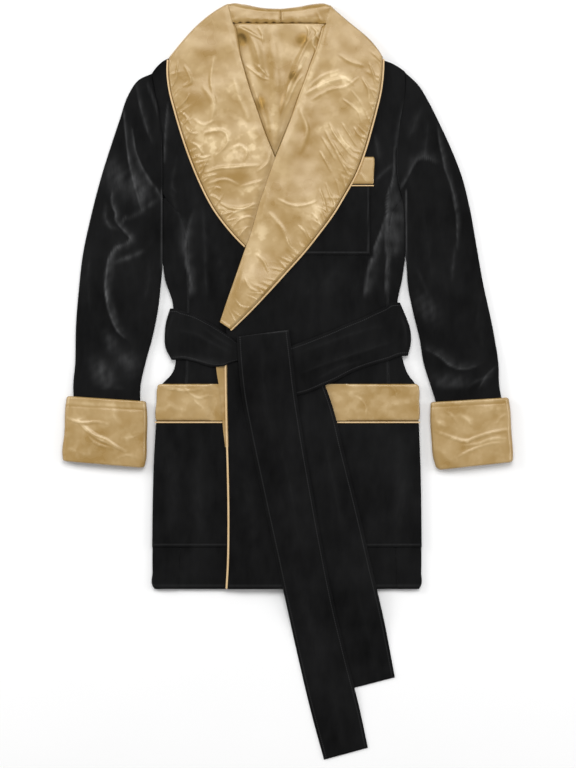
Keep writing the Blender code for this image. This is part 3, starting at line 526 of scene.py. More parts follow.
def satin_finish(name, low, high, gloss, threads):
    finish = Finish(name)
    where = finish.node("ShaderNodeTexCoord", None, None, 3)
    cloth = finish.node("ShaderNodeUVMap", {"uv_map": "cloth"}, None)
    fold = finish.node("ShaderNodeAttribute", {"attribute_name": "nap"}, None, 2)
    tone = finish.noise(where, 30.0, 2.0, 0.5)
    painted_glint = finish.step(finish.noise(where, 62.0, 2.0, 0.5), 0.47, 0.64)
    liquid = finish.noise(where, 17.0, 1.0, 0.4)
    weave = finish.noise(finish.spread(cloth, threads), 1.0, 2.0, 0.6)
    # Painted light: the creases' painted light and shade, and random painted glints, shift the colour
    # over a random tone
    share = tone * 0.7 + fold * (0.62 + painted_glint * 0.75) + painted_glint * 0.12 - 0.19
    base = finish.colour(share, low, high)
    # Painted shade: where the painted light is far below zero the colour turns brown and the surface
    # metallic
    painted_shade = finish.step(0.0 - fold, 0.25, 1.05)
    base = finish.colour(painted_shade, base, GOLD_PAINTED_SHADE)
    bumped = finish.bump(weave, 0.00006, 0.5, finish.bump(liquid, 0.0022))
    return finish.done(Base_Color=base, Roughness=gloss + (tone - 0.5) * 0.12, Normal=bumped,
                       Metallic=painted_shade * 0.85, Specular_IOR_Level=0.8,
                       Specular_Tint=(1.0, 0.92, 0.78, 1))


satin = satin_finish("gold_satin", GOLD_LOW, GOLD_TONE_AND_HIGHLIGHT, 0.29, (900.0, 60.0, 1.0))
lining_satin = satin_finish("gold_lining", GOLD_LOW, GOLD_TONE_AND_HIGHLIGHT, 0.29, (60.0, 900.0, 1.0))
piping_satin = satin_finish("gold_piping", PIPING_LOW, PIPING_TONE_AND_HIGHLIGHT, 0.36, (500.0, 500.0, 1.0))


def dress(piece, material, node, cut, rests_on, nap=None, share=1.0):
    """Gives a finished piece its cloth, hides the solid that it stands for and stores any painted
    light on its points.
    """
    piece.data.materials.append(material)
    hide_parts(node)
    if cut:
        width, length = cut
        width * length * share
    if nap is not None:
        mesh = piece.data
        at = np.empty(len(mesh.vertices) * 3)
        mesh.vertices.foreach_get("co", at)
        at = at.reshape(-1, 3) - SHIFT
        # Painted light and shade: the piece's highlights and shade, stored on its points and painted
        # into its colour
        value = mesh.attributes.new("nap", "FLOAT", "POINT")
        value.data.foreach_set("value", nap(at).ravel().astype(np.float32))
    print(piece.name, len(piece.data.polygons), "faces")


# %% [markdown]
# ## The two fronts
# Each front runs from the armhole and the side seam to its inner edge, which the lapel or the other
# front covers. Rows of places down the seam and down the inner edge span it like the rungs of a
# ladder. The creases of the velvet die out under the belt, the collar and the pockets, so that the
# layers stay clear of each other.

# %% Outlines of the body
# row, then the columns of the front seam, the folded edge and the seam with the back
side_rows = np.array([
    (198.2, 165.7, 162.0, 165.8), (213, 178.0, 162.1, 186), (230, 185.5, 162.2, 198),
    (255, 188.0, 162.4, 206), (280, 188.0, 165.2, 211), (303, 188.0, 172.6, 213),
    (330, 187.5, 173.0, 214), (358, 187.0, 176.2, 214), (374, 186.5, 171.6, 213),
    (386, 186.0, 160.6, 212), (402, 185.5, 157.6, 211), (424, 184.5, 156.2, 210),
    (470, 183.0, 153.8, 209), (530, 181.0, 152.6, 208), (572, 179.0, 152.4, 207),
    (586.5, 178.6, 152.8, 207), (589, 178.5, 154.5, 207),
])
SIDE_RIGHT = np.column_stack([py(side_rows[:, 0]), px(side_rows[:, 1:])])
side_rows = np.array([
    (198.2, 402.3, 406.1, 402.2), (213, 392.0, 406.1, 384), (230, 389.5, 406.0, 372),
    (255, 389.5, 405.4, 363), (280, 388.0, 402.0, 358), (303, 388.0, 397.5, 356),
    (330, 388.0, 400.0, 355), (358, 388.0, 402.5, 355), (374, 388.3, 408.0, 356),
    (386, 389.0, 416.5, 357), (402, 389.7, 418.0, 358), (424, 390.5, 418.7, 359),
    (470, 392.5, 420.3, 360), (530, 395.0, 421.2, 361), (572, 396.5, 421.3, 362),
    (586.5, 397.0, 420.6, 362), (589, 397.0, 419.0, 362),
])
SIDE_LEFT = np.column_stack([py(side_rows[:, 0]), px(side_rows[:, 1:])])
# a place on the armhole, then the one across from it on the inner edge
ARMHOLE_RIGHT = places([(152, 73.4, 229, 14), (156.5, 99, 231, 36), (160.5, 124, 237, 60),
                        (162, 149, 246, 88), (162, 174, 257, 118), (162, 192, 266, 143)])
ARMHOLE_LEFT = places([(405, 72, 329, 30), (404.5, 97, 324, 49), (400, 122, 317, 67),
                       (397, 147, 309, 86), (397.2, 172, 297, 112), (401, 192, 288, 138)])
INNER_LEFT = places([(281, 157), (274, 177), (266, 199), (258.5, 224), (248, 254), (237.5, 281),
                     (226.5, 315), (227.2, 345), (227.4, 370), (227.4, 385), (227.7, 402),
                     (228.2, 424), (229.4, 470), (230.1, 530), (229.5, 572), (228.4, 586.5),
                     (228, 589)])
ROWS_BELOW = np.linspace(float(py(198.2)), float(py(HEM_ROW)), fine(0.610, 0.0028))
print("rows below the underarm:", len(ROWS_BELOW))

# %% Creases of the body's velvet
BODY_CREASES = [
    # half width, height, light, lean, then the line: the viewer's left side
    (6, 2.4, 0.5, 0.3, 192, 214, 188, 230, 185, 248, 187, 266, 191, 282, 190, 297, 189, 312),
    (9, 1.6, 0.26, 0, 183, 220, 183, 240, 186, 262),
    (3, 1.2, 0.4, 0.2, 168, 103, 166, 122, 165, 140, 164, 162),
    (5, 0.6, 0.08, 0, 177, 158, 172, 188, 176, 214),
    (5, 0.8, 0.1, 0, 203, 205, 205, 250, 206, 300),
    (11, 0.8, 0.05, 0, 216, 248, 223, 282, 222, 306),
    (8, 0.6, 0.04, 0, 199, 270, 202, 294, 198, 310),
    # the viewer's right side
    (3, 1.2, 0.32, -0.2, 407, 98, 402, 116, 398, 134, 396, 152),
    (4, 1.6, 0.36, 0.2, 394, 148, 394, 168, 392, 183, 387.5, 196, 387, 216),
    (4, 1.6, 0.46, 0.2, 387.5, 196, 387, 220, 386, 238, 387, 262, 386, 285, 387, 308),
    (13, 1.4, 0.28, 0, 394, 190, 396, 212, 396, 236, 392, 258),
    (5, 2.6, 0.62, 0.3, 386, 216, 380, 234, 374, 250, 370, 267),
    (8, 2.8, 0.46, 0.3, 374, 246, 369, 268, 366, 286, 364, 312),
    (5, 1, 0.18, 0, 375, 181, 383, 173, 393, 164),
    (5, 0.9, 0.2, 0, 374, 134, 377, 146, 379, 158),
    (14, 1, 0.05, 0, 344, 262, 330, 284, 324, 306),
    (9, 0.7, 0.05, 0, 312, 286, 303, 302, 300, 322),
    (12, 0.6, 0.04, 0, 170, 436, 173, 480, 171, 530),
    (12, 0.5, 0.04, 0, 200, 442, 197, 486, 201, 536),
    (13, 0.6, 0.05, 0, 399, 438, 402, 484, 398, 536),
    (12, 0.5, 0.03, 0, 246, 470, 251, 520, 258, 570),
    (12, 0.4, 0.03, 0, 190, 552, 188, 570, 191, 586),
]


ABOVE_BELT, BELOW_POCKETS = 0.126, -0.262


def free_cloth(x, y):
    """1 where nothing lies on the body, 0 under the belt and the pockets."""
    above = ease((y - ABOVE_BELT) / 0.020)
    below = ease((BELOW_POCKETS - y) / 0.012)
    between_pockets = ease((0.052 - np.abs(x + 0.060)) / 0.02) * ease((-0.05 - y) / 0.02)
    chest = ease((x - px(372)) / 0.006)
    chest = np.maximum(chest, ease((py(256) - y) / 0.008))
    chest = np.maximum(chest, ease((px(300) - x) / 0.010))
    return np.maximum(above * np.where(x > 0, chest, 1), np.maximum(below, between_pockets))


def under_collar(x, y):
    """1 clear of the lapels, 0 below them."""
    right = edge_x(COLLAR_RIGHT, y, 2) - 0.004
    left = edge_x(COLLAR_LEFT, y, 2) + 0.004
    clear = np.where(x < px(245), ease((right - x) / 0.008), ease((x - left) / 0.008))
    return np.where(y < py(330), 1.0, clear)


# a place on the roll, or where the lapel is covered, then the one on the sewn edge
COLLAR_RIGHT = places([
    (228, 3.9, 168.5, 58), (233, 24, 168, 72), (236, 42, 170, 90), (242, 64, 175, 110),
    (249, 88, 182, 134), (257, 111, 191, 160), (265, 134, 201, 184), (275, 158, 213.5, 208),
    (286, 183, 229, 229), (298, 208, 246, 247), (304, 222, 254, 254),
])
COLLAR_LEFT = places([
    (330.2, 5.2, 383, 57), (326, 24, 382.5, 72), (321, 45, 380.5, 90), (313, 67, 376, 110),
    (305, 89, 370.5, 131), (294, 113, 364, 153), (283.5, 139, 355, 176), (275.5, 159, 345, 194),
    (267, 183, 333, 214), (259, 207, 319, 233), (252, 232, 304, 252), (244, 254, 287, 271),
    (235, 280, 268, 292), (227, 303, 249, 312), (220.5, 322.5, 231, 329.5),
])


def body_relief(x, y):
    """The height and the light of the body's creases, where its velvet lies free."""
    height, light = creases(x, y, BODY_CREASES)
    mask = free_cloth(x, y) * under_collar(x, y)
    height = height + 0.00035 * (1 + waves(x, y, 0.045, 11, (1.0, 0.5)))
    return height * mask, light * mask


def seam_dip(away, depth=0.0011, reach=0.0022):
    """Cloth pulled in where it is sewn."""
    return -depth * bell(away, reach)


print("body creases:", len(BODY_CREASES))


# %% The fronts
SHOULDER_BOW = {1: 0.0056, -1: 0.0022}


def shoulder(x, y, toward):
    """How far the shoulder line bows up beside the collar's corner."""
    corner = px(152) if toward > 0 else px(405)
    share = np.clip((x - corner) * toward / 0.031, 0, 1)
    fade = ease(1 - (py(70) - y) / 0.050) * ease((y - py(112)) / 0.03)
    return SHOULDER_BOW[toward] * 4 * share * (1 - share) * fade


def front(name, upper, side, inner, surface, toward):
    """Rows from the armhole and then from the side seam, each to the inner edge."""
    above = smooth(upper, fine(0.19, 0.0028))
    lip = above[0] * 0.97 + above[1] * 0.03
    edges = keyed(side, ROWS_BELOW)
    seam = np.stack([edges[:, 0] + toward * SEAM_GAP, ROWS_BELOW], axis=1)
    inner_rows = hermite(-side[:, 0], inner, -ROWS_BELOW)
    rows = np.vstack([above[:1], lip[None], above[1:], np.hstack([seam, inner_rows])])
    plan = between(rows[:, :2], rows[:, 2:], np.linspace(0, 1, fine(0.21, 0.0030)))
    plan[..., 1] += shoulder(plan[..., 0], plan[..., 1], toward)
    x, y = plan[..., 0], plan[..., 1]
    plain = surface(x, y)
    low = plain - VELVET
    low[:2] = body_lift(y[:2]) + VELVET + 0.0004
    along_seam = np.abs(x - rows[:, :1])
    pucker = 1 + 0.5 * waves(x, y, 0.016, 5)
    top = plain + body_relief(x, y)[0] + seam_dip(along_seam) * pucker
    hem_round = 0.0012 * ease((py(587.6) - y) / 0.002)
    top = top + seam_dip(y - py(HEM_STITCH_ROW), 0.0005, 0.0012) - hem_round
    top[0] -= 0.0012
    return sheet(name, raised(plan, top), raised(plan, low))


# Painted highlights: the light of the body's creases, a light line along each side seam and one along
# the hem's stitches
def body_painted_light(at):
    x, y = at[:, 0], at[:, 1]
    light = body_relief(x, y)[1] * (0.75 + 0.35 * waves(x, y, 0.018, 15))
    for side in (SIDE_RIGHT, SIDE_LEFT):
        seam = np.interp(-y, -side[:, 0], side[:, 1])
        shows = (y < py(212)) * (y > py(386))
        light = light + 0.12 * bell(x - seam, 0.0012) * shows
    return light + 0.10 * bell(y - py(HEM_STITCH_ROW), 0.0008)


for hand, holes, side, inner, surface, toward, below in (
    ("right", ARMHOLE_RIGHT, SIDE_RIGHT, UNDERLAP[6:], right_surface, 1, "velvet_back"),
    ("left", ARMHOLE_LEFT, SIDE_LEFT, INNER_LEFT, left_surface, -1, "velvet_front_right"),
):
    piece = front("velvet_front_" + hand, holes, side, inner, surface, toward)
    dress(piece, velvet, "front_" + hand, (0.28, 0.89), [below], body_painted_light, share=0.70)

# %% [markdown]
# ## The side panels
# A side panel starts at the seam on the front, turns round the edge of the jacket and ends at the
# seam on the back. Laid flat it is a narrow fold, so its section is a flat top, a half circle and a
# flat underside on the floor.

# %% The side panels
FOLD_RADIUS = 0.0037


def side_panel(name, side, toward):
    """A fold: strips over the top, round the edge and back along the floor."""
    edges = keyed(side, ROWS_BELOW)
    seam, fold, under = edges.T
    lift = body_lift(ROWS_BELOW)
    wide = np.abs(seam - fold)
    r = np.minimum(FOLD_RADIUS, wide * 0.8)
    end = fold + toward * r * 1.02
    outer, inner = [], []
    for t in np.linspace(0, 1, 12):
        x = seam * (1 - t) + end * t
        z = 2 * FOLD_RADIUS + body_relief(x, ROWS_BELOW)[0] * ease((wide - 0.004) / 0.01)
        z = z + seam_dip(np.abs(x - seam)) * ease((wide - 0.004) / 0.01)
        outer.append((x, z))
        inner.append((x, np.full(len(x), 0.0050)))
    for turn in np.linspace(np.pi / 2, -np.pi / 2, 13)[1:-1]:
        outer.append((end - toward * r * np.cos(turn), FOLD_RADIUS * (1 + np.sin(turn)) + 0 * seam))
        short = np.minimum(FOLD_RADIUS - VELVET, wide * 0.2)
        inner.append((end - toward * short * np.cos(turn),
                      FOLD_RADIUS + (FOLD_RADIUS - VELVET) * np.sin(turn) + 0 * seam))
    for t in np.linspace(0, 1, 10):
        x = end * (1 - t) + under * t
        outer.append((x, 0 * x))
        inner.append((x, np.full(len(x), VELVET)))
    outer = np.array([np.stack([x, ROWS_BELOW, lift + z], axis=1) for x, z in outer])
    inner = np.array([np.stack([x, ROWS_BELOW, lift + z], axis=1) for x, z in inner])
    steps = np.linalg.norm(np.diff(outer, axis=0), axis=2)
    run = np.concatenate([[0 * seam], np.cumsum(steps, axis=0)])
    maps = np.stack([run, np.tile(ROWS_BELOW, (len(outer), 1))], axis=2)
    return sheet(name, outer, inner, maps)


for hand, side, toward in (("right", SIDE_RIGHT, 1), ("left", SIDE_LEFT, -1)):
    dress(side_panel("velvet_side_" + hand, side, toward), velvet, "side_" + hand, (0.13, 0.61),
          ["velvet_back"], body_painted_light, share=0.85)

# %% [markdown]
# ## The back and its lining
# The back lies on the floor and is flat there. Its lining shows only in the neck opening, where it
# lies in loose folds with painted brown shade in the hollows between them. Only that part of it is
# made.

# %% The back
BACK_TOP = places([(152, 73.4), (192.6, 43), (227, 16), (233, 23.8), (281, 24.6),
                   (322, 24.8), (333, 33), (368, 52.5), (405, 72)])
HOLE_RIGHT = smooth(ARMHOLE_RIGHT, 40)[:, :2]
HOLE_LEFT = smooth(ARMHOLE_LEFT, 40)[:, :2]
shares = np.linspace(0, 1, 61)
top_line = hermite(np.linspace(0, 1, 9), BACK_TOP, shares)
s = (top_line[:, 0] - top_line[0, 0]) / (top_line[-1, 0] - top_line[0, 0])
drop = top_line[:, 1] - (top_line[0, 1] + (top_line[-1, 1] - top_line[0, 1]) * s)
back_rows = []
for k, (a, b) in enumerate(zip(HOLE_RIGHT, HOLE_LEFT)):
    back_rows.append(np.stack([a[0] + (b[0] - a[0]) * s,
                               a[1] + (b[1] - a[1]) * s + drop * (1 - k / 39) ** 1.3], axis=1))
under = np.column_stack([keyed(SIDE_RIGHT, ROWS_BELOW)[:, 2] + SEAM_GAP,
                         keyed(SIDE_LEFT, ROWS_BELOW)[:, 2] - SEAM_GAP])
back_rows.append(np.stack([px(162.6) + (px(405.4) - px(162.6)) * shares,
                           np.full(61, float(py(197.4)))], axis=1))
for y, (a, b) in zip(ROWS_BELOW, under):
    back_rows.append(np.stack([a + (b - a) * shares, np.full(61, y)], axis=1))
back_plan = np.array(back_rows)
for toward in (1, -1):
    back_plan[..., 1] += shoulder(back_plan[..., 0], back_plan[..., 1], toward)
back_low = body_lift(back_plan[..., 1])
back = sheet("velvet_back", raised(back_plan, back_low + VELVET), raised(back_plan, back_low))
dress(back, velvet, "back", (0.40, 0.90), [], share=0.72)

# %% The lining in the neck opening
LINING_CREASES = [
    # half width, height, light, lean, then the line
    (7, 2.6, 0, 0.2, 240, 28, 252, 40, 258, 58, 262, 84),
    (9, 2.4, 0, 0, 272, 30, 274, 60, 276, 90, 276, 120),
    (5, 2, 0, 0.2, 318, 30, 306, 46, 298, 62, 289, 84),
    (1.7, 1.3, 0.6, 0.3, 323, 29, 316, 35, 322, 43, 315, 50, 319, 58),
    (1.5, 1.2, 0.6, 0.2, 312, 27, 317, 33, 312, 41, 317, 52),
    (1.4, 1, 0.4, 0, 306, 26, 309, 32, 307, 39),
    (2, 1.3, 0.5, 0.2, 308, 50, 303, 60, 297, 72, 290, 86, 286, 98),
    (1.8, 1, 0.4, 0, 302, 76, 296, 84, 290, 96, 285, 108),
    (5, 1.6, 0, 0, 296, 78, 286, 98, 278, 122, 276, 146),
    (1.8, 1.1, 0.5, 0.2, 246, 66, 254, 72, 262, 78, 268, 80),
    (1.6, 1, 0.4, 0, 255, 64, 262, 70, 268, 77),
    (2.4, 1, 0.3, 0, 238, 27, 247, 31, 256, 36, 263, 40),
    (1.5, 0.8, 0.4, 0, 258, 27, 262, 34, 263, 44),
    (2.2, 0.8, 0.3, 0, 250, 80, 256, 94, 262, 112, 268, 132),
    (4, 1.2, 0, 0, 268, 110, 271, 128, 273, 148),
]
LINING_PAINTED_LIGHT_AND_SHADE = [
    # half width, no height, light, no lean, then the line: below zero the light is painted brown
    # shade, above it a painted highlight
    (10, 0, -1.5, 0, 240, 33, 241.5, 40, 243, 47),
    (11, 0, -1.2, 0, 296, 43, 302, 40, 308, 36),
    (6, 0, -1.2, 0, 318, 38, 319, 44, 317, 54),
    (9, 0, -1.2, 0, 289, 80, 293.5, 76, 298, 72),
    (8, 0, -1.3, 0, 261, 96, 261.6, 103, 262, 111),
    (6, 0, 0.55, 0, 248, 52, 250, 62, 252, 76),
    (8, 0, 0.4, 0, 252, 78, 257, 84, 262, 90),
    (9, 0, 0.3, 0, 272, 96, 274, 120, 275, 146),
    (3, 0, 0.5, 0, 310, 50, 304, 62, 298, 72),
    (4, 0, -0.5, 0, 286, 86, 282, 100, 280, 118),
]
LINING = places([(229.5, 23.4, 327, 23.8), (229.5, 40, 325, 40), (231, 60, 321, 60),
                 (236, 80, 316, 80), (246, 110, 306, 110), (256, 140, 294, 140),
                 (264, 172, 287, 172)])
LINING_RISE = 0.0058      # it lies loosely over what is below it
edges = smooth(LINING, fine(0.23, 0.0014))
plan = between(edges[:, :2], edges[:, 2:], np.linspace(0, 1, fine(0.15, 0.0014)))
x, y = plan[..., 0], plan[..., 1]


def lining_clear(x, y, start, reach):
    """1 in the open part of the neck, 0 where the lapels and the collar cover the lining."""
    right = edge_x(COLLAR_RIGHT, y)
    left = edge_x(COLLAR_LEFT, y)
    sides = ease((x - right - start) / reach) * ease((left - x - start) / reach)
    return sides * (0.8 + 0.2 * ease((py(23.4) - y) / 0.0014))


low = body_lift(y) + LINING_LOW + LINING_RISE * lining_clear(x, y, -0.0028, 0.0052)
loose = creases(x, y, LINING_CREASES)[0] + 0.0005 * (1 + waves(x, y, 0.040, 7))
top = low + 0.0012 + loose * lining_clear(x, y, 0.0008, 0.008)
lining = sheet("satin_back_lining", raised(plan, top), raised(plan, low))


# Painted brown shade in the hollows between the folds, and painted highlights on the folds
def lining_painted_light_and_shade(at):
    x, y = at[:, 0], at[:, 1]
    return creases(x, y, LINING_PAINTED_LIGHT_AND_SHADE)[1] + creases(x, y, LINING_CREASES)[1]


dress(lining, lining_satin, "back_lining", (0.155, 0.235), ["velvet_back"], lining_painted_light_and_shade,
      share=0.60)

# %% [markdown]
# ## The sleeves
# A set-in sleeve lies as a flattened tube, a little puffed, with its crown at the armhole. The long
# crease from the crown, the zigzag at the elbow and the pulls above the cuff are what the light
# finds on the velvet, so each is placed one by one.

# %% Sleeve outlines and creases
# a place on the outer edge of the sleeve, then one on its inner edge
UNDERARM_RIGHT, UNDERARM_LEFT = 162.4, 405.6
SLEEVE_RIGHT = places([
    (152, 73.4, 162.4, 197), (138, 80.2, 162.4, 206), (128, 95, 162.4, 215), (119, 121, 162.4, 226),
    (109, 151, 162.5, 240), (99.5, 182, 162.6, 256), (91, 215, 161.9, 270), (83, 252, 160.6, 285),
    (78.5, 290, 157.6, 311), (75.5, 330, 151.6, 340), (75, 362, 145.6, 362), (73, 386, 140.5, 386),
    (73.5, 402, 140, 404), (71, 457, 140, 463),
])
SLEEVE_LEFT = places([
    (405, 72, 405.6, 197), (419, 85.5, 405.7, 206), (429, 102, 405.7, 215), (441, 126, 405.7, 226),
    (452.4, 151, 405.7, 240), (462.6, 178, 405.8, 254), (470, 208, 406.9, 268),
    (476.4, 244, 408.4, 288),
    (483.5, 284, 413.5, 313), (493, 328, 420, 340), (498.5, 362, 424, 364),
    (499.5, 386, 431.5, 388), (501.5, 398, 436, 402), (506, 457, 442, 465),
])
SLEEVE_CREASES = [
    # half width, height, light, lean, then the line: the viewer's left sleeve
    (3, 1.6, 0.42, 0.2, 123.5, 110, 125, 126, 127, 146, 129.5, 165),
    (6, 2.4, 0.46, 0.2, 128, 156, 131, 170, 134, 182, 137.5, 195, 141, 208),
    (4, 2.2, 0.46, -0.3, 132.5, 130, 136, 152, 141, 165, 151, 182, 158, 191, 162.5, 200),
    (4, 1.6, 0.26, 0.2, 136, 84, 140, 105, 146, 127, 152, 142),
    (3, 1.2, 0.22, 0, 147, 83, 154, 100, 159, 118),
    (18, 1.2, 0.26, 0, 112, 160, 116, 178, 120, 196),
    (18, 1, 0.34, 0, 132, 176, 140, 192, 144, 204),
    (5, 1.2, 0.24, 0, 158, 200, 148, 206, 138, 214, 128, 219),
    (4, 2.6, 0.46, 0.3, 112.5, 192, 112, 204, 116, 214, 116, 221, 122, 228),
    (5, 1.2, 0.26, 0, 106.5, 206, 106, 219, 111, 227, 118, 229),
    (3, 1.2, 0.24, 0, 127, 216, 123, 221, 121, 226),
    (4, 2.8, 0.6, 0.3, 119, 225, 125, 232, 131, 239, 126, 244, 118, 247, 112, 254),
    (6, 3.4, 0.66, 0.3, 116, 246, 110, 257, 107, 270, 105.5, 286, 107.5, 302),
    (6, 3.2, 0.6, 0.2, 106, 292, 108, 306, 112.5, 320, 117, 330, 124, 337),
    (5, 2, 0.4, 0, 113, 263, 125, 259, 136, 255, 143, 251),
    (11, 1.2, 0.2, 0, 106, 334, 112, 344, 114, 356),
    (16, 1.4, 0.32, 0, 96, 362, 104, 374, 110, 388),
    (14, 1, 0.28, 0, 118, 362, 128, 360, 131, 372),
    (5, 0.9, 0.14, 0, 92, 392, 106, 388, 126, 389),
    (7, 1, 0.06, 0, 90, 250, 88, 280, 90, 310),
    (6, 1, 0.05, 0, 150, 262, 148, 286, 143, 304),
    # the viewer's right sleeve
    (3, 1.8, 0.4, 0.2, 400, 189, 406, 180, 412, 168, 417, 160),
    (6, 1.8, 0.4, 0.3, 412, 166, 418, 159, 427, 158, 436, 162),
    (8, 1.8, 0.16, 0, 421, 110, 414, 125, 409, 138),
    (8, 1, 0.1, 0, 428, 122, 426, 145, 424, 156),
    (4, 2.2, 0.4, 0.2, 437, 124, 441, 150, 445, 168, 451, 187, 455, 205),
    (3, 2, 0.44, 0.2, 450, 182, 455, 205, 457, 225, 457, 249),
    (5, 1.2, 0.14, 0, 455, 246, 453, 264, 452, 284),
    (16, 1, 0.18, 0, 418, 296, 427, 308, 434, 322),
    (4, 1.2, 0.08, 0, 416, 268, 422, 280, 428, 296),
    (7, 2, 0.34, 0.3, 426, 349, 439, 356, 450, 365, 462, 369, 476, 366),
    (4, 1.4, 0.24, 0.2, 496, 366, 486, 376, 478, 390),
    (15, 1, 0.24, 0, 436, 378, 450, 384, 464, 382),
    (4, 1, 0.14, 0, 466, 388, 478, 380, 492, 376),
    (9, 1.2, 0.04, 0, 482, 290, 478, 320, 482, 346),
    (8, 1.2, 0.04, 0, 424, 214, 428, 246, 434, 284),
]


def sleeve_relief(x, y):
    """The height and the light of a sleeve's creases, calm where the cuff covers it."""
    height, light = creases(x, y, SLEEVE_CREASES)
    mask = ease((y - py(392)) / 0.012)
    return (height + 0.0004 * (1 + waves(x, y, 0.05, 23, (1.0, 0.6)))) * mask, light * mask


print("sleeve creases:", len(SLEEVE_CREASES))


# %% The section of a flattened tube
def section(height, wall, outer_edge, inner_edge, bend, crown, lift, relief, tops, bottoms, arc):
    """The outer and inner points of a flattened tube, ring by ring."""
    span = inner_edge - outer_edge
    length = np.linalg.norm(span, axis=1)[:, None]
    span = span / length
    r = height / 2
    turn = np.linspace(np.pi, np.pi / 2, arc + 1)
    count = len(outer_edge)
    one = np.ones((count, 1))
    flat = np.linspace(0, 1, tops)[None]
    flat_back = np.linspace(1, 0, bottoms)[None]
    up_d = (r + r * np.cos(turn))[None] * one
    up_z = (r + r * np.sin(turn))[None] * one
    top_d = r + (length - 2 * r) * flat
    under_d = r + (length - 2 * r) * flat_back
    d = np.hstack([up_d[:, :-1], top_d, (length - up_d[:, ::-1])[:, 1:],
                   (length - up_d)[:, 1:-1], under_d, up_d[:, ::-1][:, 1:-1]])
    z = np.hstack([up_z[:, :-1], height + 0 * top_d, up_z[:, ::-1][:, 1:],
                   (height - up_z)[:, 1:-1], 0 * under_d, (height - up_z)[:, ::-1][:, 1:-1]])
    e = np.clip(d, wall, length - wall)
    w = np.clip(z, wall, height - wall)
    share = np.clip(d / length, 0, 1)
    upper = z > r
    puff = np.where(upper, crown * np.sin(np.pi * share) ** 0.7, 0)

    def out(d, z):
        plan = outer_edge[:, None] + span[:, None] * d[..., None] + bend(np.clip(d / length, 0, 1))
        return plan, lift[:, None] + z

    plan, high = out(d, z + puff)
    top = np.where(upper, ease((z - r) / (r * 0.8)), 0)
    high = high + relief(plan[..., 0], plan[..., 1]) * top
    inside, low = out(e, w)
    maps = np.stack([np.cumsum(np.abs(np.diff(d, axis=1, prepend=d[:, :1])), axis=1),
                     np.tile(plan[:, :1, 1], (1, d.shape[1]))], axis=2)
    return raised(plan, high), raised(inside, low), maps


# %% The sleeves
UNDER_CUFF = 402          # the row where the crown has sunk to nothing


def sleeve(name, rows, hole, shift):
    """A flattened tube whose first rings follow the armhole."""
    stations = smooth(rows, fine(0.66, 0.0034))
    at = along(hole) / along(hole)[-1]
    t = np.linspace(0, 1, len(stations))
    fade = np.clip(1 - t * 3.2, 0, 1) ** 1.5
    start = stations[0]

    def bend(share):
        curve = np.stack([np.interp(share, at, hole[:, i]) for i in (0, 1)], axis=-1)
        straight = start[:2] * (1 - share[..., None]) + start[2:] * share[..., None]
        return (curve - straight) * fade[:, None, None] + np.array([shift, 0])

    middle = (stations[:, 1] + stations[:, 3]) / 2
    lift = 0.0036 * ease((0.060 - middle) / 0.070)
    crown = 0.0030 * ease((middle - py(UNDER_CUFF)) / 0.022)[:, None]
    outer, inner, maps = section(2 * FOLD_RADIUS, VELVET, stations[:, :2], stations[:, 2:], bend,
                                 crown, lift, lambda x, y: sleeve_relief(x, y)[0], 46, 24, 5)
    outer[0, :, 2] = np.minimum(outer[0, :, 2], 0.0066)
    return tube(name, outer, inner, maps)


# Painted highlights on the sleeve's creases and a painted light line along its inner edge, on its
# upper face only
def sleeve_painted_light(at):
    x, y, z = at.T
    light = sleeve_relief(x, y)[1] * (0.75 + 0.35 * waves(x, y, 0.016, 17))
    inner = np.where(x < 0, px(UNDERARM_RIGHT) - x, x - px(UNDERARM_LEFT))
    light = light + 0.30 * bell(inner - 0.0008, 0.0014) * (y < py(190)) * (y > py(270))
    return light * (z > 0.004)


for hand, holes, underarm, rows, shift in (
    ("right", ARMHOLE_RIGHT, (UNDERARM_RIGHT, 197), SLEEVE_RIGHT, SEAM_GAP),
    ("left", ARMHOLE_LEFT, (UNDERARM_LEFT, 197), SLEEVE_LEFT, -SEAM_GAP),
):
    hole = np.vstack([smooth(holes, 8)[:, :2], places([underarm])])
    dress(sleeve("velvet_sleeve_" + hand, rows, hole, shift), velvet, "sleeve_" + hand,
          (0.33, 0.62), [], sleeve_painted_light, share=0.78)

# %% [markdown]
# ## The turned-back cuffs
# Each cuff is a wide padded band of satin turned back over the sleeve's end. Its corners are soft,
# and fine wrinkles run from its middle towards the corners, where the padding pulls.

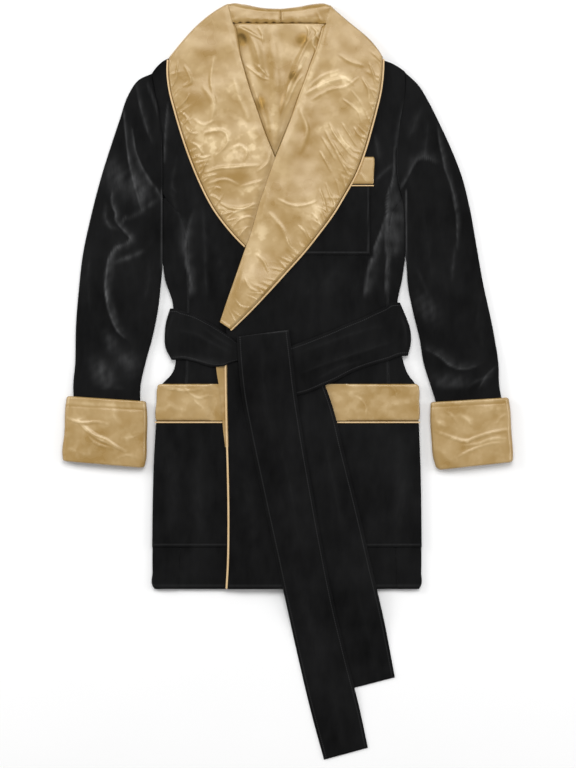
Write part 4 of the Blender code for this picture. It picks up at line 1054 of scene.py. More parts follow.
# %% The cuffs
# a place on the outer edge of the cuff, then one on its inner edge
CUFF_RIGHT = places([
    (68.6, 396, 144.4, 401), (67.0, 397.2, 146.0, 402.2), (66.2, 401, 146.6, 406),
    (64.4, 432, 147.0, 438), (62.6, 456.6, 145.4, 463.6),
    (63.2, 460, 144.4, 466.8), (65.2, 461.3, 142.4, 468),
])
CUFF_LEFT = places([
    (506.4, 397.4, 432.2, 402), (508.4, 398.6, 430.8, 403.2), (509.2, 402.4, 430.4, 407),
    (511.4, 432, 431.4, 440), (513.0, 455.6, 434.4, 462.6),
    (512.6, 460.6, 436.6, 468), (510.8, 462.2, 440.0, 470),
])
CUFF_CREASES = [
    # half width, height, light, lean, then the line: the viewer's left cuff
    (1.8, 1, 0.35, 0.2, 67, 418, 74, 421, 84, 423, 96, 422, 108, 424),
    (2.2, 1.2, 0.4, 0.3, 78, 421, 86, 430, 97, 438, 112, 445, 126, 452),
    (1.6, 0.9, 0.4, 0, 84, 425, 94, 434, 106, 439, 118, 447),
    (1.6, 0.8, 0.3, 0, 88, 434, 93, 441, 103, 446, 114, 448),
    (1.6, 0.6, 0.2, 0, 70, 424, 76, 421, 84, 418),
    (8, 0.6, 0.35, 0, 124, 438, 132, 437, 140, 434),
    (5, 0.6, 0.2, 0, 112, 404, 114, 414, 118, 424),
    (7, 0.5, 0.25, 0, 70, 448, 80, 452, 92, 454),
    (1.6, 0.5, 0.2, 0, 116, 459, 126, 455, 136, 457),
    # the viewer's right cuff
    (2.2, 1.1, 0.4, 0.3, 435, 431, 444, 435, 455, 439, 465, 442, 475, 438, 491, 433, 507, 430),
    (1.8, 0.9, 0.35, 0, 455, 458, 467, 452, 484, 445, 499, 442),
    (1.8, 0.8, 0.25, 0, 462, 446, 476, 444, 492, 439, 506, 438),
    (4.5, 0.7, 0.45, 0, 437, 421, 441, 424, 446, 426),
    (3.5, 0.6, 0.3, 0, 462, 416, 468, 420, 472, 425),
    (1.6, 0.6, 0.2, 0, 446, 411, 452, 416, 458, 424),
    (7, 0.5, 0.25, 0, 480, 412, 490, 410, 500, 408),
    (6, 0.5, 0.25, 0, 442, 452, 448, 458, 456, 462),
    (1.6, 0.6, 0.2, 0, 496, 424, 500, 418, 506, 414),
]


def hem_row(x):
    """The line where the upper edge of a cuff was turned in."""
    return np.where(x < 0, py(405.5) - 0.055 * (x - px(68)), py(402.5) + 0.055 * (x - px(508)))


def cuff_relief(x, y):
    height = creases(x, y, CUFF_CREASES)[0] + 0.0009 * (1 + waves(x, y, 0.055, 31))
    return height - 0.0004 * bell(y - hem_row(x), 0.0019)


# Painted light and shade: highlights on the cuff's creases, painted shade in the groove of the turned
# hem with a painted light strip beside it, the whole a little darker, and painted shade where the
# cuff rounds down at its rim
def cuff_painted_light_and_shade(at):
    x, y, z = at.T
    hem = bell(y - hem_row(x), 0.0014) - bell(y - hem_row(x) - 0.005, 0.003)
    painted_rim_shade = ease((0.0135 - z) / 0.004)
    return (creases(x, y, CUFF_CREASES)[1] - 0.17 * hem - 0.03) * (1 - painted_rim_shade) - 0.8 * painted_rim_shade


CUFF_HEIGHT, CUFF_WALL = 0.0146, 0.0030
CUFF_ROUND = 0.006        # how far the cuff's rounded ends reach


def cuff(name, rows):
    """A thick flattened tube whose open ends are rounded off."""
    at = along(rows)
    ends = np.linspace(0, CUFF_ROUND, 6)
    middle = np.linspace(CUFF_ROUND, at[-1] - CUFF_ROUND, fine(0.10, 0.0018))[1:-1]
    want = np.concatenate([ends, middle, at[-1] - ends[::-1]])
    stations = hermite(at, rows, want)
    flat = rounded(np.minimum(want, at[-1] - want), CUFF_ROUND)
    outer, inner, maps = section(CUFF_HEIGHT, CUFF_WALL, stations[:, :2], stations[:, 2:],
                                 lambda share: np.zeros(2), 0.0022, np.zeros(len(want)),
                                 cuff_relief, 60, 40, 7)
    half = CUFF_HEIGHT / 2
    outer[..., 2] = half + (outer[..., 2] - half) * (0.45 + 0.55 * flat[:, None])
    outer[..., 2] = np.maximum(outer[..., 2], 0)
    return tube(name, outer, inner, maps)


cuffs = [(cuff("satin_cuff_" + hand, rows), "cuff_" + hand)
         for hand, rows in (("right", CUFF_RIGHT), ("left", CUFF_LEFT))]
for piece, node in cuffs:
    dress(piece, satin, node, (0.27, 0.105), [], cuff_painted_light_and_shade)

# %% [markdown]
# ## The shawl collar
# The collar is the jacket's show piece: a wide padded band of satin, cut in two halves that meet at
# the back of the neck. Its inner edge is a soft roll, and its outer edge is sewn to a piping, which
# gathers it into many short puckers. Longer pulls cross the lapels. The puckers are set along the
# seam at uneven steps from a fixed seed, and the pulls are placed one by one.

# %% Pulls across the lapels
LAPEL_CREASES = [
    # half width, height, light, lean, then the line: the viewer's left lapel
    (2, 1.2, 0.3, 0.3, 184.7, 67, 189, 75, 191, 82, 184, 86),
    (1.6, 0.9, 0.3, 0, 189, 95, 186, 100, 181, 105),
    (1.5, 0.7, 0.15, 0, 178, 62, 177, 72, 176, 82),
    (2.4, 1.3, 0.45, 0.2, 204, 134, 214, 131, 224, 132, 228, 141, 222, 150, 215, 156),
    (2, 0.9, 0.3, 0, 194, 120, 204, 125, 214, 121),
    (2.2, 1, 0.3, 0, 230, 150, 240, 146, 247, 152, 244, 161),
    (2.2, 1.4, 0.45, 0.3, 206, 173, 218, 169, 230, 168, 244, 167, 258, 166),
    (1.8, 0.9, 0.3, 0, 257, 172, 265, 166, 269, 160, 271, 150),
    (1.6, 0.9, 0.15, 0, 197, 171, 203, 166, 208, 165),
    (1.5, 0.8, 0.15, 0, 213, 191, 216, 188, 221, 189),
    (2, 1.3, 0.45, 0.3, 221, 204, 229, 208, 240, 209, 257, 204),
    (1.6, 1, 0.3, 0, 227, 219, 236, 212, 246, 209, 257, 208),
    (1.6, 0.9, 0.3, 0, 231, 229, 241, 219, 250, 217, 256, 219),
    (1.4, 0.7, 0.15, 0, 238, 238, 244, 230, 252, 226),
    (2.7, 0.9, 0.3, 0, 214, 58, 211, 82, 216, 104),
    (4.1, 1.2, 0.3, 0, 204, 88, 214, 104, 211, 122),
    (3.4, 1, 0.3, 0, 234, 80, 240, 100, 249, 120),
    (2.3, 0.9, 0.3, 0, 241, 187, 252, 184, 263, 181),
    (2, 0.8, 0.15, 0, 208, 184, 226, 180, 238, 185),
    (1.6, 1, 0.4, 0.2, 180, 112, 186, 117, 190, 124),
    (1.5, 0.9, 0.3, 0, 186, 128, 191, 133, 199, 134),
    (1.6, 1, 0.4, 0.2, 191, 143, 198, 147, 203, 154),
    (1.5, 0.9, 0.3, 0, 196, 156, 203, 158, 210, 156),
    (1.6, 1, 0.4, 0, 200, 181, 208, 176, 216, 175),
    (1.5, 1, 0.4, 0.2, 207, 196, 214, 197, 220, 201),
    (1.5, 0.9, 0.3, 0, 217, 209, 223, 209, 228, 213),
    # the viewer's right lapel
    (1.5, 1, 0.4, 0.2, 342, 124, 348, 133, 356, 146),
    (1.6, 1, 0.4, 0.2, 325, 131, 330, 141, 338, 154),
    (1.5, 0.9, 0.3, 0, 333, 141, 340, 152, 347, 163),
    (1.5, 1, 0.4, 0.2, 338, 157, 344, 167, 349, 176),
    (1.5, 0.9, 0.3, 0, 320, 152, 326, 162, 331, 172),
    (1.4, 0.8, 0.3, 0, 354, 128, 358, 134, 362, 138),
    (1.4, 0.9, 0.4, 0.2, 330, 194, 334, 203, 335, 213),
    (1.5, 0.9, 0.4, 0.2, 320, 190, 324, 202, 326, 212),
    (1.4, 0.8, 0.3, 0, 312, 214, 318, 220, 322, 228),
    (1.6, 0.9, 0.3, 0.2, 298, 226, 304, 232, 308, 240),
    (1.5, 0.8, 0.3, 0, 286, 238, 290, 246, 296, 252),
    (1.6, 0.9, 0.4, 0.2, 304, 92, 312, 85, 322, 77, 338, 71),
    (2.2, 1.4, 0.45, 0.3, 353, 84, 345, 79, 336, 80, 328, 82, 318, 87, 306, 94),
    (1.8, 0.9, 0.3, 0, 358, 78, 346, 87, 330, 90, 312, 100),
    (1.6, 0.9, 0.15, 0, 369, 64, 373, 74, 375, 84),
    (1.8, 1, 0.3, 0.2, 362, 79, 368, 90, 369, 102),
    (1.6, 0.9, 0.3, 0, 343, 100, 350, 105, 358, 112, 361, 122),
    (1.5, 0.7, 0.15, 0, 352, 92, 359, 101, 365, 111),
    (1.8, 1.2, 0.3, 0.3, 329, 124, 334, 134, 343, 146, 353, 158),
    (1.6, 1, 0.3, 0, 338, 132, 345, 143, 354, 151),
    (1.6, 0.9, 0.3, 0, 335, 151, 344, 163, 351, 171),
    (1.8, 1, 0.3, 0.2, 322, 138, 328, 148, 335, 160),
    (1.5, 0.8, 0.15, 0, 336, 180, 339, 190, 340, 199),
    (1.5, 0.7, 0.15, 0, 326, 184, 330, 196, 332, 206),
    (1.4, 0.7, 0.15, 0, 343, 176, 345, 184, 346, 190),
    (1.9, 0.9, 0.3, 0.2, 278, 200, 292, 206, 304, 206, 316, 202),
    (1.6, 0.7, 0.15, 0, 318, 207, 325, 210, 329, 216),
    (2, 0.9, 0.3, 0, 257, 255, 264, 262, 268, 271),
    (1.8, 0.8, 0.15, 0, 245, 279, 250, 288, 257, 292),
    (1.6, 0.7, 0.15, 0, 235, 299, 240, 306, 245, 308),
    (4.1, 1.2, 0.3, 0, 300, 110, 307, 130, 300, 152),
    (3.4, 0.9, 0.15, 0, 270, 214, 284, 232, 290, 250),
    (2.7, 0.9, 0.15, 0, 340, 56, 350, 62, 362, 66),
]
LAPEL_PAINTED_SHEEN_AND_SHADE = [
    # half width, no height, light, no lean, then the line: painted sheen above zero, painted shade
    # below
    (5, 0, 0.3, 0, 327, 26, 321, 45, 313, 67, 305, 89, 294, 113),
    (24, 0, 0.55, 0, 200, 128, 220, 146, 242, 156),
    (14, 0, 0.5, 0, 240, 120, 250, 140, 258, 160),
    (10, 0, 0.45, 0, 227, 92, 234, 88, 238, 84),
    (7, 0, 0.4, 0, 210, 108, 214, 108, 218, 106),
    (16, 0, -0.22, 0, 186, 92, 200, 100, 214, 104),
    (13, 0, -0.15, 0, 196, 60, 210, 48, 220, 38),
    (5, 0, -0.5, 0, 203, 136, 215, 134, 224, 139),
    (4, 0, -0.45, 0, 214, 151, 222, 150, 229, 144),
    (14, 0, -0.22, 0, 214, 178, 232, 178, 248, 176),
    (10, 0, 0.4, 0, 238, 196, 250, 190, 262, 184),
    (7, 0, 0.3, 0, 232, 215, 242, 216, 250, 222),
    (26, 0, -0.25, 0, 318, 112, 308, 140, 294, 176),
    (18, 0, -0.15, 0, 352, 60, 346, 48, 338, 34),
    (9, 0, 0.6, 0, 314, 88, 328, 80, 344, 78, 350, 88),
    (8, 0, 0.45, 0, 314, 131, 325, 129, 334, 126),
    (10, 0, 0.4, 0, 340, 132, 347, 146, 352, 160),
    (9, 0, 0.3, 0, 356, 100, 361, 112, 362, 124),
    (14, 0, 0.4, 0, 300, 206, 312, 212, 320, 222),
    (16, 0, 0.4, 0, 264, 226, 258, 240, 250, 262),
    (10, 0, -0.2, 0, 296, 236, 288, 248, 278, 262),
]
print("pulls on the lapels:", len(LAPEL_CREASES))


# %% Puckers, and the bow at the shoulder
def puckers(run, away, seed, length=0.010, step=0.0080):
    """Short uneven gathers that start at a seam and die out across the cloth."""
    rng = np.random.default_rng(seed)
    total = np.zeros(np.shape(run))
    at = 0.004
    while at < run.max():
        reach = length * rng.uniform(0.4, 1.5)
        wide = 0.0018 * rng.uniform(0.6, 1.4)
        high = 0.0012 * rng.uniform(0.1, 1.0) ** 1.3
        lean = rng.uniform(-0.9, 0.5)
        middle = rng.uniform(0.002, 0.006)
        ridge = bell(run - at - lean * away, wide)
        total += high * ridge * bell(away - middle, reach) * ease(away / 0.003)
        at += step * rng.uniform(0.4, 1.9)
    return total


RIGHT_BOW = (0.0078, 0.43)
LEFT_BOW = (0.0050, 0.70)


def bowed(spokes, shares, first, bow):
    """Points across the spokes, pushed outwards near the turn over the shoulder at one spoke."""
    most, peak = bow
    plan = between(spokes[:, :2], spokes[:, 2:], shares)
    run = spokes[first, 2:] - spokes[first, :2]
    out = np.array([-run[1], run[0]]) / np.linalg.norm(run)
    out = out if out[1] > 0 else -out
    middle = (spokes[:, :2] + spokes[:, 2:]) / 2
    fade = ease(1 - np.linalg.norm(middle - middle[first], axis=1) / 0.080)
    swell = np.sin(np.pi * np.asarray(shares) ** (np.log(0.5) / np.log(peak)))
    return plan + most * fade[:, None, None] * swell[None, :, None] * out


print("the right lapel bows out by", RIGHT_BOW[0] * 1000, "mm")


# %% The lapels
def collar_top(y):
    """The height of a padded lapel's face where it lies on a single front."""
    return body_lift(y) + FRONT_TOP + LAYER + SATIN + COLLAR_PAD


def collar(name, rows, surface, tapered, bow, roll, seed):
    """A lapel half. The roll gives the width of its turn into the neck opening at each height."""
    spokes = smooth(rows, fine(0.40 if tapered else 0.56, 0.00145))
    run = spokes[0, 2:] - spokes[0, :2]
    down = np.array([-run[1], run[0]]) / np.linalg.norm(run)
    down = np.tile(down if down[1] < 0 else -down, 2)
    spokes[:, 2:] += (spokes[:, :2] - spokes[:, 2:]) * (0.0012 / np.linalg.norm(run))
    lips = [spokes[0] + down * d for d in (0, 0.0003, 0.0008, 0.0016, 0.0024, 0.0030)]
    spokes = np.vstack([lips, spokes[3:]])
    even = np.linspace(0, 1, fine(0.115, 0.00125))
    shares = 1 - (1 - even) * (0.65 + 0.35 * (1 - even))
    plan = bowed(spokes, shares, 0, bow)
    x, y = plan[..., 0], plan[..., 1]
    wide = np.linalg.norm(spokes[:, 2:] - spokes[:, :2], axis=1)[:, None]
    edge_run = np.tile(along(spokes[:, 2:])[:, None], (1, plan.shape[1]))
    low = surface(x, y) + LAYER
    away = (1 - shares)[None, :] * wide
    full = 0.25 + 0.75 * rounded(away, 0.0045)
    relief = creases(x, y, LAPEL_CREASES)[0] + 0.0012 * (1 + waves(x, y, 0.085, seed))
    relief = relief + 0.00022 * (1 + waves(x, y, 0.034, seed + 1))
    relief = relief * ease(away / 0.005) * (0.25 + 0.75 * ease(shares[None, :] * wide / 0.010))
    relief = relief + puckers(edge_run, away, seed + 2, 0.013, 0.0062)
    pad = SATIN + COLLAR_PAD * full + relief
    if tapered:
        edge = edge_x(COLLAR_LEFT, y)
        below = ease((edge + 0.0055 - x) / 0.006)
        calm = 0.12 + 0.88 * ease((edge - x - 0.001) / 0.012)
        pad = SATIN + (COLLAR_PAD * full + relief * calm) * below
    top = low + pad
    turn = np.linspace(np.pi / 2, 0, 12)[:-1]
    inward = (spokes[:, :2] - spokes[:, 2:]) / wide
    reach = roll(spokes[:, 1])[:, None]
    skirt = spokes[:, None, :2] + inward[:, None] * (reach * np.sin(turn)[None])[..., None]
    loose = ease((reach - 0.0012) / 0.004)
    end = (low[:, :1] + 0.0006) * (1 - loose) + (body_lift(spokes[:, 1:2]) + 0.0050) * loose
    skirt_top = end + (top[:, :1] - end) * np.cos(turn)[None]
    skirt_low = np.minimum(low[:, :1], skirt_top - 0.0006)
    plan = np.concatenate([skirt, plan], axis=1)
    low = np.concatenate([skirt_low, low], axis=1)
    top = np.concatenate([skirt_top, top], axis=1)
    low[:5] = SATIN + SEAM_GAP
    fall = np.array([0.40, 0.62, 0.78, 0.92, 1.0])[:, None]
    top[:5] = low[:5] + (top[:5] - low[:5]) * fall
    across = np.concatenate([-reach * np.sin(turn)[None], shares[None, :] * wide], axis=1)
    maps = np.stack([np.tile(along(spokes[:, 2:])[:, None], (1, plan.shape[1])), across], axis=2)
    return sheet(name, raised(plan, top), raised(plan, low), maps)


def roll_of(first, last, most):
    """A turn that is wide near the neck and narrows to a crease between two photo rows."""
    def width(y):
        open_part = ease((y - py(last)) / (py(first) - py(last)))
        open_part = open_part * (1 - ease((y - py(31)) / (py(24) - py(31))))
        return 0.0002 + 0.0010 * ease((py(23) - y) / 0.010) + most * open_part
    return width


def collar_painted_light_and_shade(surface):
    """The painted light of a lapel: broad painted sheen and shade patches, painted highlights along
    the wrinkles and painted shade on the rim.
    """
    def light(at):
        x, y, z = at.T
        painted_rim_shade = ease((surface(x, y) + LAYER + SATIN + 0.0022 - z) / 0.0012)
        patches = 1.1 * creases(x, y, LAPEL_PAINTED_SHEEN_AND_SHADE)[1] + creases(x, y, LAPEL_CREASES)[1]
        return patches * (1 - painted_rim_shade) - 0.8 * painted_rim_shade
    return light


for hand, rows, surface, tapered, bow, roll, seed, cut, share in (
    ("right", COLLAR_RIGHT, right_surface, True, RIGHT_BOW, roll_of(42, 60, 0.0050), 41,
     (0.13, 0.37), 0.72),
    ("left", COLLAR_LEFT, left_surface, False, LEFT_BOW, roll_of(88, 124, 0.0072), 51,
     (0.13, 0.54), 0.66),
):
    piece = collar("satin_collar_" + hand, rows, surface, tapered, bow, roll, seed)
    dress(piece, satin, "collar_" + hand, cut, ["velvet_front_" + hand], collar_painted_light_and_shade(surface),
          share=share)

# %% [markdown]
# ## The collar at the neck
# Behind the neck the collar stands up and turns over. Laid flat, its inside shows as two short
# padded strips with a seam at the centre back, and the part that turned over lies under the back.

# %% Stands and falls
# stands: a place on the neck seam, then one on the fold; falls: from the fold to the far edge
STAND_RIGHT = places([(232.8, 23.0, 228.2, 4.0), (238, 23.1, 234, 3.0), (250, 23.2, 246, 5.0),
                      (266, 23.4, 265, 8.0), (280.96, 23.6, 280.96, 8.7)])
STAND_LEFT = places([(281.04, 23.6, 281.04, 8.7), (296, 23.6, 298, 6.8), (312, 23.8, 315, 3.8),
                     (320.5, 23.9, 324.4, 3.4), (326.2, 24.0, 330.2, 5.3)])
FALL_RIGHT = places([(280.96, 8.7, 280.96, 74), (262, 7.6, 243, 72), (243, 4.0, 205, 67),
                     (228, 3.9, 168.5, 58)])
FALL_LEFT = places([(281.04, 8.7, 281.04, 74), (300, 6.8, 318, 72), (317, 4.4, 350, 66),
                    (330.2, 5.2, 383, 57)])


def stand(name, rows, seed):
    """The inside of the collar behind the neck, which joins the lapel's face beside it."""
    spokes = smooth(rows, fine(0.08, 0.0012))
    shares = np.linspace(0, 1, 26)
    plan = between(spokes[:, :2], spokes[:, 2:], shares)
    x, y = plan[..., 0], plan[..., 1]
    shape = (0.45 + 0.55 * rounded(shares, 0.25)) * (0.1 + 0.9 * rounded(1 - shares, 0.30))
    shape = shape[None, :]
    seam = np.abs(x - px(281))
    run = np.tile(along(spokes[:, :2])[:, None], (1, 26))
    away = shares[None, :] * 0.024
    relief = 0.0004 * (1 + waves(x, y, 0.024, seed)) + 0.5 * puckers(run, away, seed, 0.008, 0.010)
    relief = relief * shape
    low = np.full(plan.shape[:2], SATIN + SEAM_GAP)
    top = low + 0.0016 + 0.0104 * shape * (1 - 0.16 * bell(seam, 0.0016)) + relief
    roll = COLLAR_RIGHT if name.endswith("right") else COLLAR_LEFT
    beside = np.abs(x - edge_x(roll, y))
    join = ease(1 - beside / 0.024)
    over = 1 - 0.75 * (1 - rounded(1 - shares, 0.12))[None, :]
    top = top * (1 - join) + (collar_top(y) + relief) * over * join
    uneven = 0.0011 * waves(x, 0 * x, 0.011, seed + 4)
    plan[..., 1] = plan[..., 1] - uneven * (1 - shares)[None, :] ** 3
    return sheet(name, raised(plan, np.maximum(top, low + 0.0006)), raised(plan, low))


def fall(name, rows, bow):
    """The part of the collar that turned over, flat on the floor."""
    spokes = smooth(rows, fine(0.12, 0.003))
    plan = bowed(spokes, np.linspace(0, 1, 40), -1, bow)
    low = np.zeros(plan.shape[:2])
    return sheet(name, raised(plan, low + SATIN), raised(plan, low))


def stand_painted_shade(at):
    """Painted shade: a little darker than the lapels, with soft uneven patches."""
    return -0.16 + 0.16 * waves(at[:, 0], at[:, 1], 0.024, 63, (1.0, 2.0))


stands = [(stand("satin_stand_" + hand, rows, seed), "collar_stand_" + hand)
          for hand, rows, seed in (("right", STAND_RIGHT, 61), ("left", STAND_LEFT, 67))]
for piece, node in stands:
    dress(piece, satin, node, (0.078, 0.034), ["satin_fall_right", "satin_fall_left"], stand_painted_shade,
          share=0.9)
falls = [(fall("satin_fall_" + hand, rows, bow), "collar_fall_" + hand)
         for hand, rows, bow in (("right", FALL_RIGHT, RIGHT_BOW), ("left", FALL_LEFT, LEFT_BOW))]
for piece, node in falls:
    dress(piece, satin, node, (0.178, 0.105), [], share=0.7)

# %% [markdown]
# ## Pockets and their bands
# The hip pockets are velvet patches with a padded satin band along the top and a piping below the
# band. The chest pocket is smaller, and the lapel covers its inner side. The patches are edged with
# a row of stitches, which pulls the velvet in.

# %% Strips laid on the fronts
def patch(name, edges, surface, thick, puff, seed, hide=None):
    """Cloth laid on a surface between a left and a right edge, row by row."""
    rows = hermite(-edges[:, 1], edges, np.linspace(-edges[0, 1], -edges[-1, 1],
                                                   fine(abs(edges[-1, 1] - edges[0, 1]), 0.0020)))
    length = float(np.mean(rows[:, 2] - rows[:, 0]))
    shares = np.linspace(0, 1, fine(length, 0.0020))
    plan = between(rows[:, :2], rows[:, 2:], shares)
    x, y = plan[..., 0], plan[..., 1]
    low = surface(x, y) + LAYER
    aside = np.minimum(shares, 1 - shares)[None, :] * length
    ends = np.minimum(y[0, 0] - y, y - y[-1, 0])
    near = np.minimum(aside, ends)
    if puff:
        round_edge = rounded(near, 0.0035)
        relief = 0.0004 * (1 + waves(x, y, 0.035, seed)) + creases(x, y, BAND_CREASES)[0]
        full = (puff * (0.2 + 0.8 * round_edge) + relief * round_edge
                + 0.5 * puckers(x - x.min(), y - y[-1, 0], seed + 2, 0.008, 0.011))
    else:
        full = -0.0009 * (1 - ease(near / 0.0016)) + seam_dip(near - 0.0042, 0.0005, 0.0009)
        full = full + 0.00025 * (1 + waves(x, y, 0.05, seed)) * ease(near / 0.008)
    if hide is not None:
        full = full * hide(x)
    maps = plan - plan[-1:, :1]
    return sheet(name, raised(plan, low + thick + full), raised(plan, low), maps)


def pocket_edges(side, y_values, hidden, out):
    """A pocket's two edges: just past the jacket's folded edge, and hidden under the belt."""
    fold = keyed(side, y_values)[:, 1]
    near = np.stack([fold + out, y_values], axis=1)
    far = np.stack([np.full(len(y_values), hidden), y_values], axis=1)
    return np.hstack([near, far]) if out < 0 else np.hstack([far, near])


BAND_CREASES = [
    # half width, height, light, lean, then the line
    (1.8, 0.9, 0.35, 0.2, 162, 388, 172, 389, 184, 391, 196, 390, 203, 388),
    (1.6, 0.8, 0.3, 0, 184, 387, 190, 393, 198, 398, 207, 396, 215, 395),
    (1.6, 0.7, 0.3, 0, 194, 399, 198, 404, 203, 408),
    (1.6, 0.7, 0.25, 0, 217, 398, 215, 407, 211, 416),
    (5, 0.6, 0.25, 0, 166, 402, 176, 408, 188, 410),
    (1.8, 0.7, 0.3, 0, 356, 396, 362, 400, 366, 406, 365, 418),
    (1.6, 0.6, 0.2, 0, 391, 386, 395, 390, 397, 397),
    (5, 0.5, 0.2, 0, 340, 391, 352, 392, 366, 390),
    (6, 0.5, 0.15, 0, 386, 408, 398, 404, 410, 402),
    (1.4, 0.6, 0.3, 0, 360, 173, 364, 178, 367, 182),
]
BAND_TOP, BAND_END = float(py(384)), float(py(420.6))
band_y = np.array([BAND_TOP, BAND_TOP - 0.0015, BAND_TOP - 0.006, -0.030, BAND_END + 0.006,
                   BAND_END + 0.0015, BAND_END])
corner = np.array([0.0030, 0.0008, 0, 0, 0, 0.0008, 0.0026])
right_band = pocket_edges(SIDE_RIGHT, band_y, float(px(262)), -0.0012)
right_band[:, 0] = px([158.4, 157.9, 157.4, 156.6, 155.6, 155.6, 155.6]) + corner
left_band = pocket_edges(SIDE_LEFT, band_y, float(px(316)), 0.0012)
left_band[:, 2] = px([418.0, 418.4, 418.9, 419.2, 419.4, 419.4, 419.2]) - corner
POCKET = 0.0016           # the wall of a pocket or a band
LAPEL_GAP = 0.0024        # from the lapel's seam, under the piping, to the chest pocket
bands = [(patch("satin_hip_band_" + hand, edges, surface, POCKET, 0.0018, seed, hide), hand)
         for hand, edges, surface, seed, hide in (
             ("right", right_band, right_surface, 81, lambda x: ease((px(214) - x) / 0.012)),
             ("left", left_band, left_surface, 87, lambda x: ease((x - px(343)) / 0.012)))]


# Painted highlights on the wrinkles of the pocket bands
def band_painted_light(at):
    return creases(at[:, 0], at[:, 1], BAND_CREASES)[1]


for piece, hand in bands:
    dress(piece, satin, "hip_pocket_band_" + hand, (0.165, 0.0575), ["velvet_front_" + hand],
          band_painted_light)

# %% The velvet patches and the chest pocket
patch_y = np.linspace(float(py(424.2)), float(py(547)), 12)
patches = [(patch("velvet_hip_pocket_" + hand, pocket_edges(side, patch_y, float(px(hidden)), out),
                  surface, POCKET, 0, seed), hand, cut)
           for hand, side, hidden, out, surface, seed, cut in (
               ("right", SIDE_RIGHT, 262, -0.0004, right_surface, 91, (0.170, 0.193)),
               ("left", SIDE_LEFT, 316, 0.0004, left_surface, 93, (0.165, 0.193)))]


HIP_STITCH_ROW = 544.6
CHEST_STITCH_COLUMN, CHEST_STITCH_ROW = 368.0, 252.6


def hip_painted_light(at):
    """Painted highlights on the stitches along the bottom of the hip pockets, and the body's painted
    crease light.
    """
    x, y = at[:, 0], at[:, 1]
    painted_crease_light = creases(x, y, BODY_CREASES)[1]
    return painted_crease_light + 0.12 * bell(y - py(HIP_STITCH_ROW), 0.0008)


def chest_painted_light(at):
    """Painted highlights on the stitches round the chest pocket."""
    x, y = at[:, 0], at[:, 1]
    side = bell(x - px(CHEST_STITCH_COLUMN), 0.0008) * (y > py(253))
    below = bell(y - py(CHEST_STITCH_ROW), 0.0008) * (x < px(368.4))
    return 0.16 * np.maximum(side, below)


for piece, hand, cut in patches:
    dress(piece, velvet, "hip_pocket_" + hand, cut, ["velvet_front_" + hand], hip_painted_light)

chest_y = np.linspace(float(py(187.4)), float(py(255)), 9)
chest = np.stack([edge_x(COLLAR_LEFT, chest_y, 2) + LAPEL_GAP, chest_y,
                  np.full(9, float(px(370))), chest_y], axis=1)
chest_patch = patch("velvet_chest_pocket", chest, left_surface, POCKET, 0, 95)
dress(chest_patch, velvet, "chest_pocket", (0.080, 0.106), ["velvet_front_left"],
      chest_painted_light, share=0.62)
band_at = np.array([py(157), py(157) - 0.0014, py(161), py(171), py(180), py(184) + 0.0014,
                    py(184)])
chest_band = np.stack([edge_x(COLLAR_LEFT, band_at, 2) + LAPEL_GAP, band_at,
                       px([373.2, 374.0, 374.4, 374, 373.6, 373.4, 372.8]), band_at], axis=1)
chest_strip = patch("satin_chest_band", chest_band, left_surface, POCKET, 0.0012, 97)
# The chest band gets the bands' painted highlights, and painted shade that makes it a little darker
# all over
dress(chest_strip, satin, "chest_pocket_band", (0.030, 0.0423), ["velvet_front_left"],
      lambda at: band_painted_light(at) - 0.08, share=0.70)

# %% The facing beside the front edge
# a place on the front edge's side, then one under the overlapping front
FACING = places([(215.5, 360, 232, 360), (217, 374, 232, 374), (219.3, 388, 232, 388),
                 (221.3, 405, 232, 405), (223, 428, 232, 428), (225.2, 447, 232, 447)])
rows = smooth(FACING, 60)
plan = between(rows[:, :2], rows[:, 2:], np.linspace(0, 1, 14))
low = body_lift(plan[..., 1]) + 0.0097
facing = sheet("satin_facing", raised(plan, low + 0.0009), raised(plan, low))
dress(facing, satin, "front_facing", (0.026, 0.137), ["velvet_front_right"], share=0.66)

# %% [markdown]
# ## Piping
# Piping is a thin cord covered in satin and caught in the seam. It runs along the collar, down the
# front edge and under each pocket band, and it gives the whole jacket its drawn outline.

# %% The piping
def offset_line(points, distance):
    """The line moved sideways, to the left of its own direction when the distance is positive."""
    tangent = unit(np.gradient(points, axis=0))
    return points + distance * np.stack([-tangent[:, 1], tangent[:, 0]], axis=1)


def laid_cord(name, line, surface, radius, node):
    """A piping that lies on a surface."""
    z = surface(line[:, 0], line[:, 1]) + LAYER + radius
    piece = cord(name, np.column_stack([line, z]), radius)
    dress(piece, piping_satin, node, None, [])


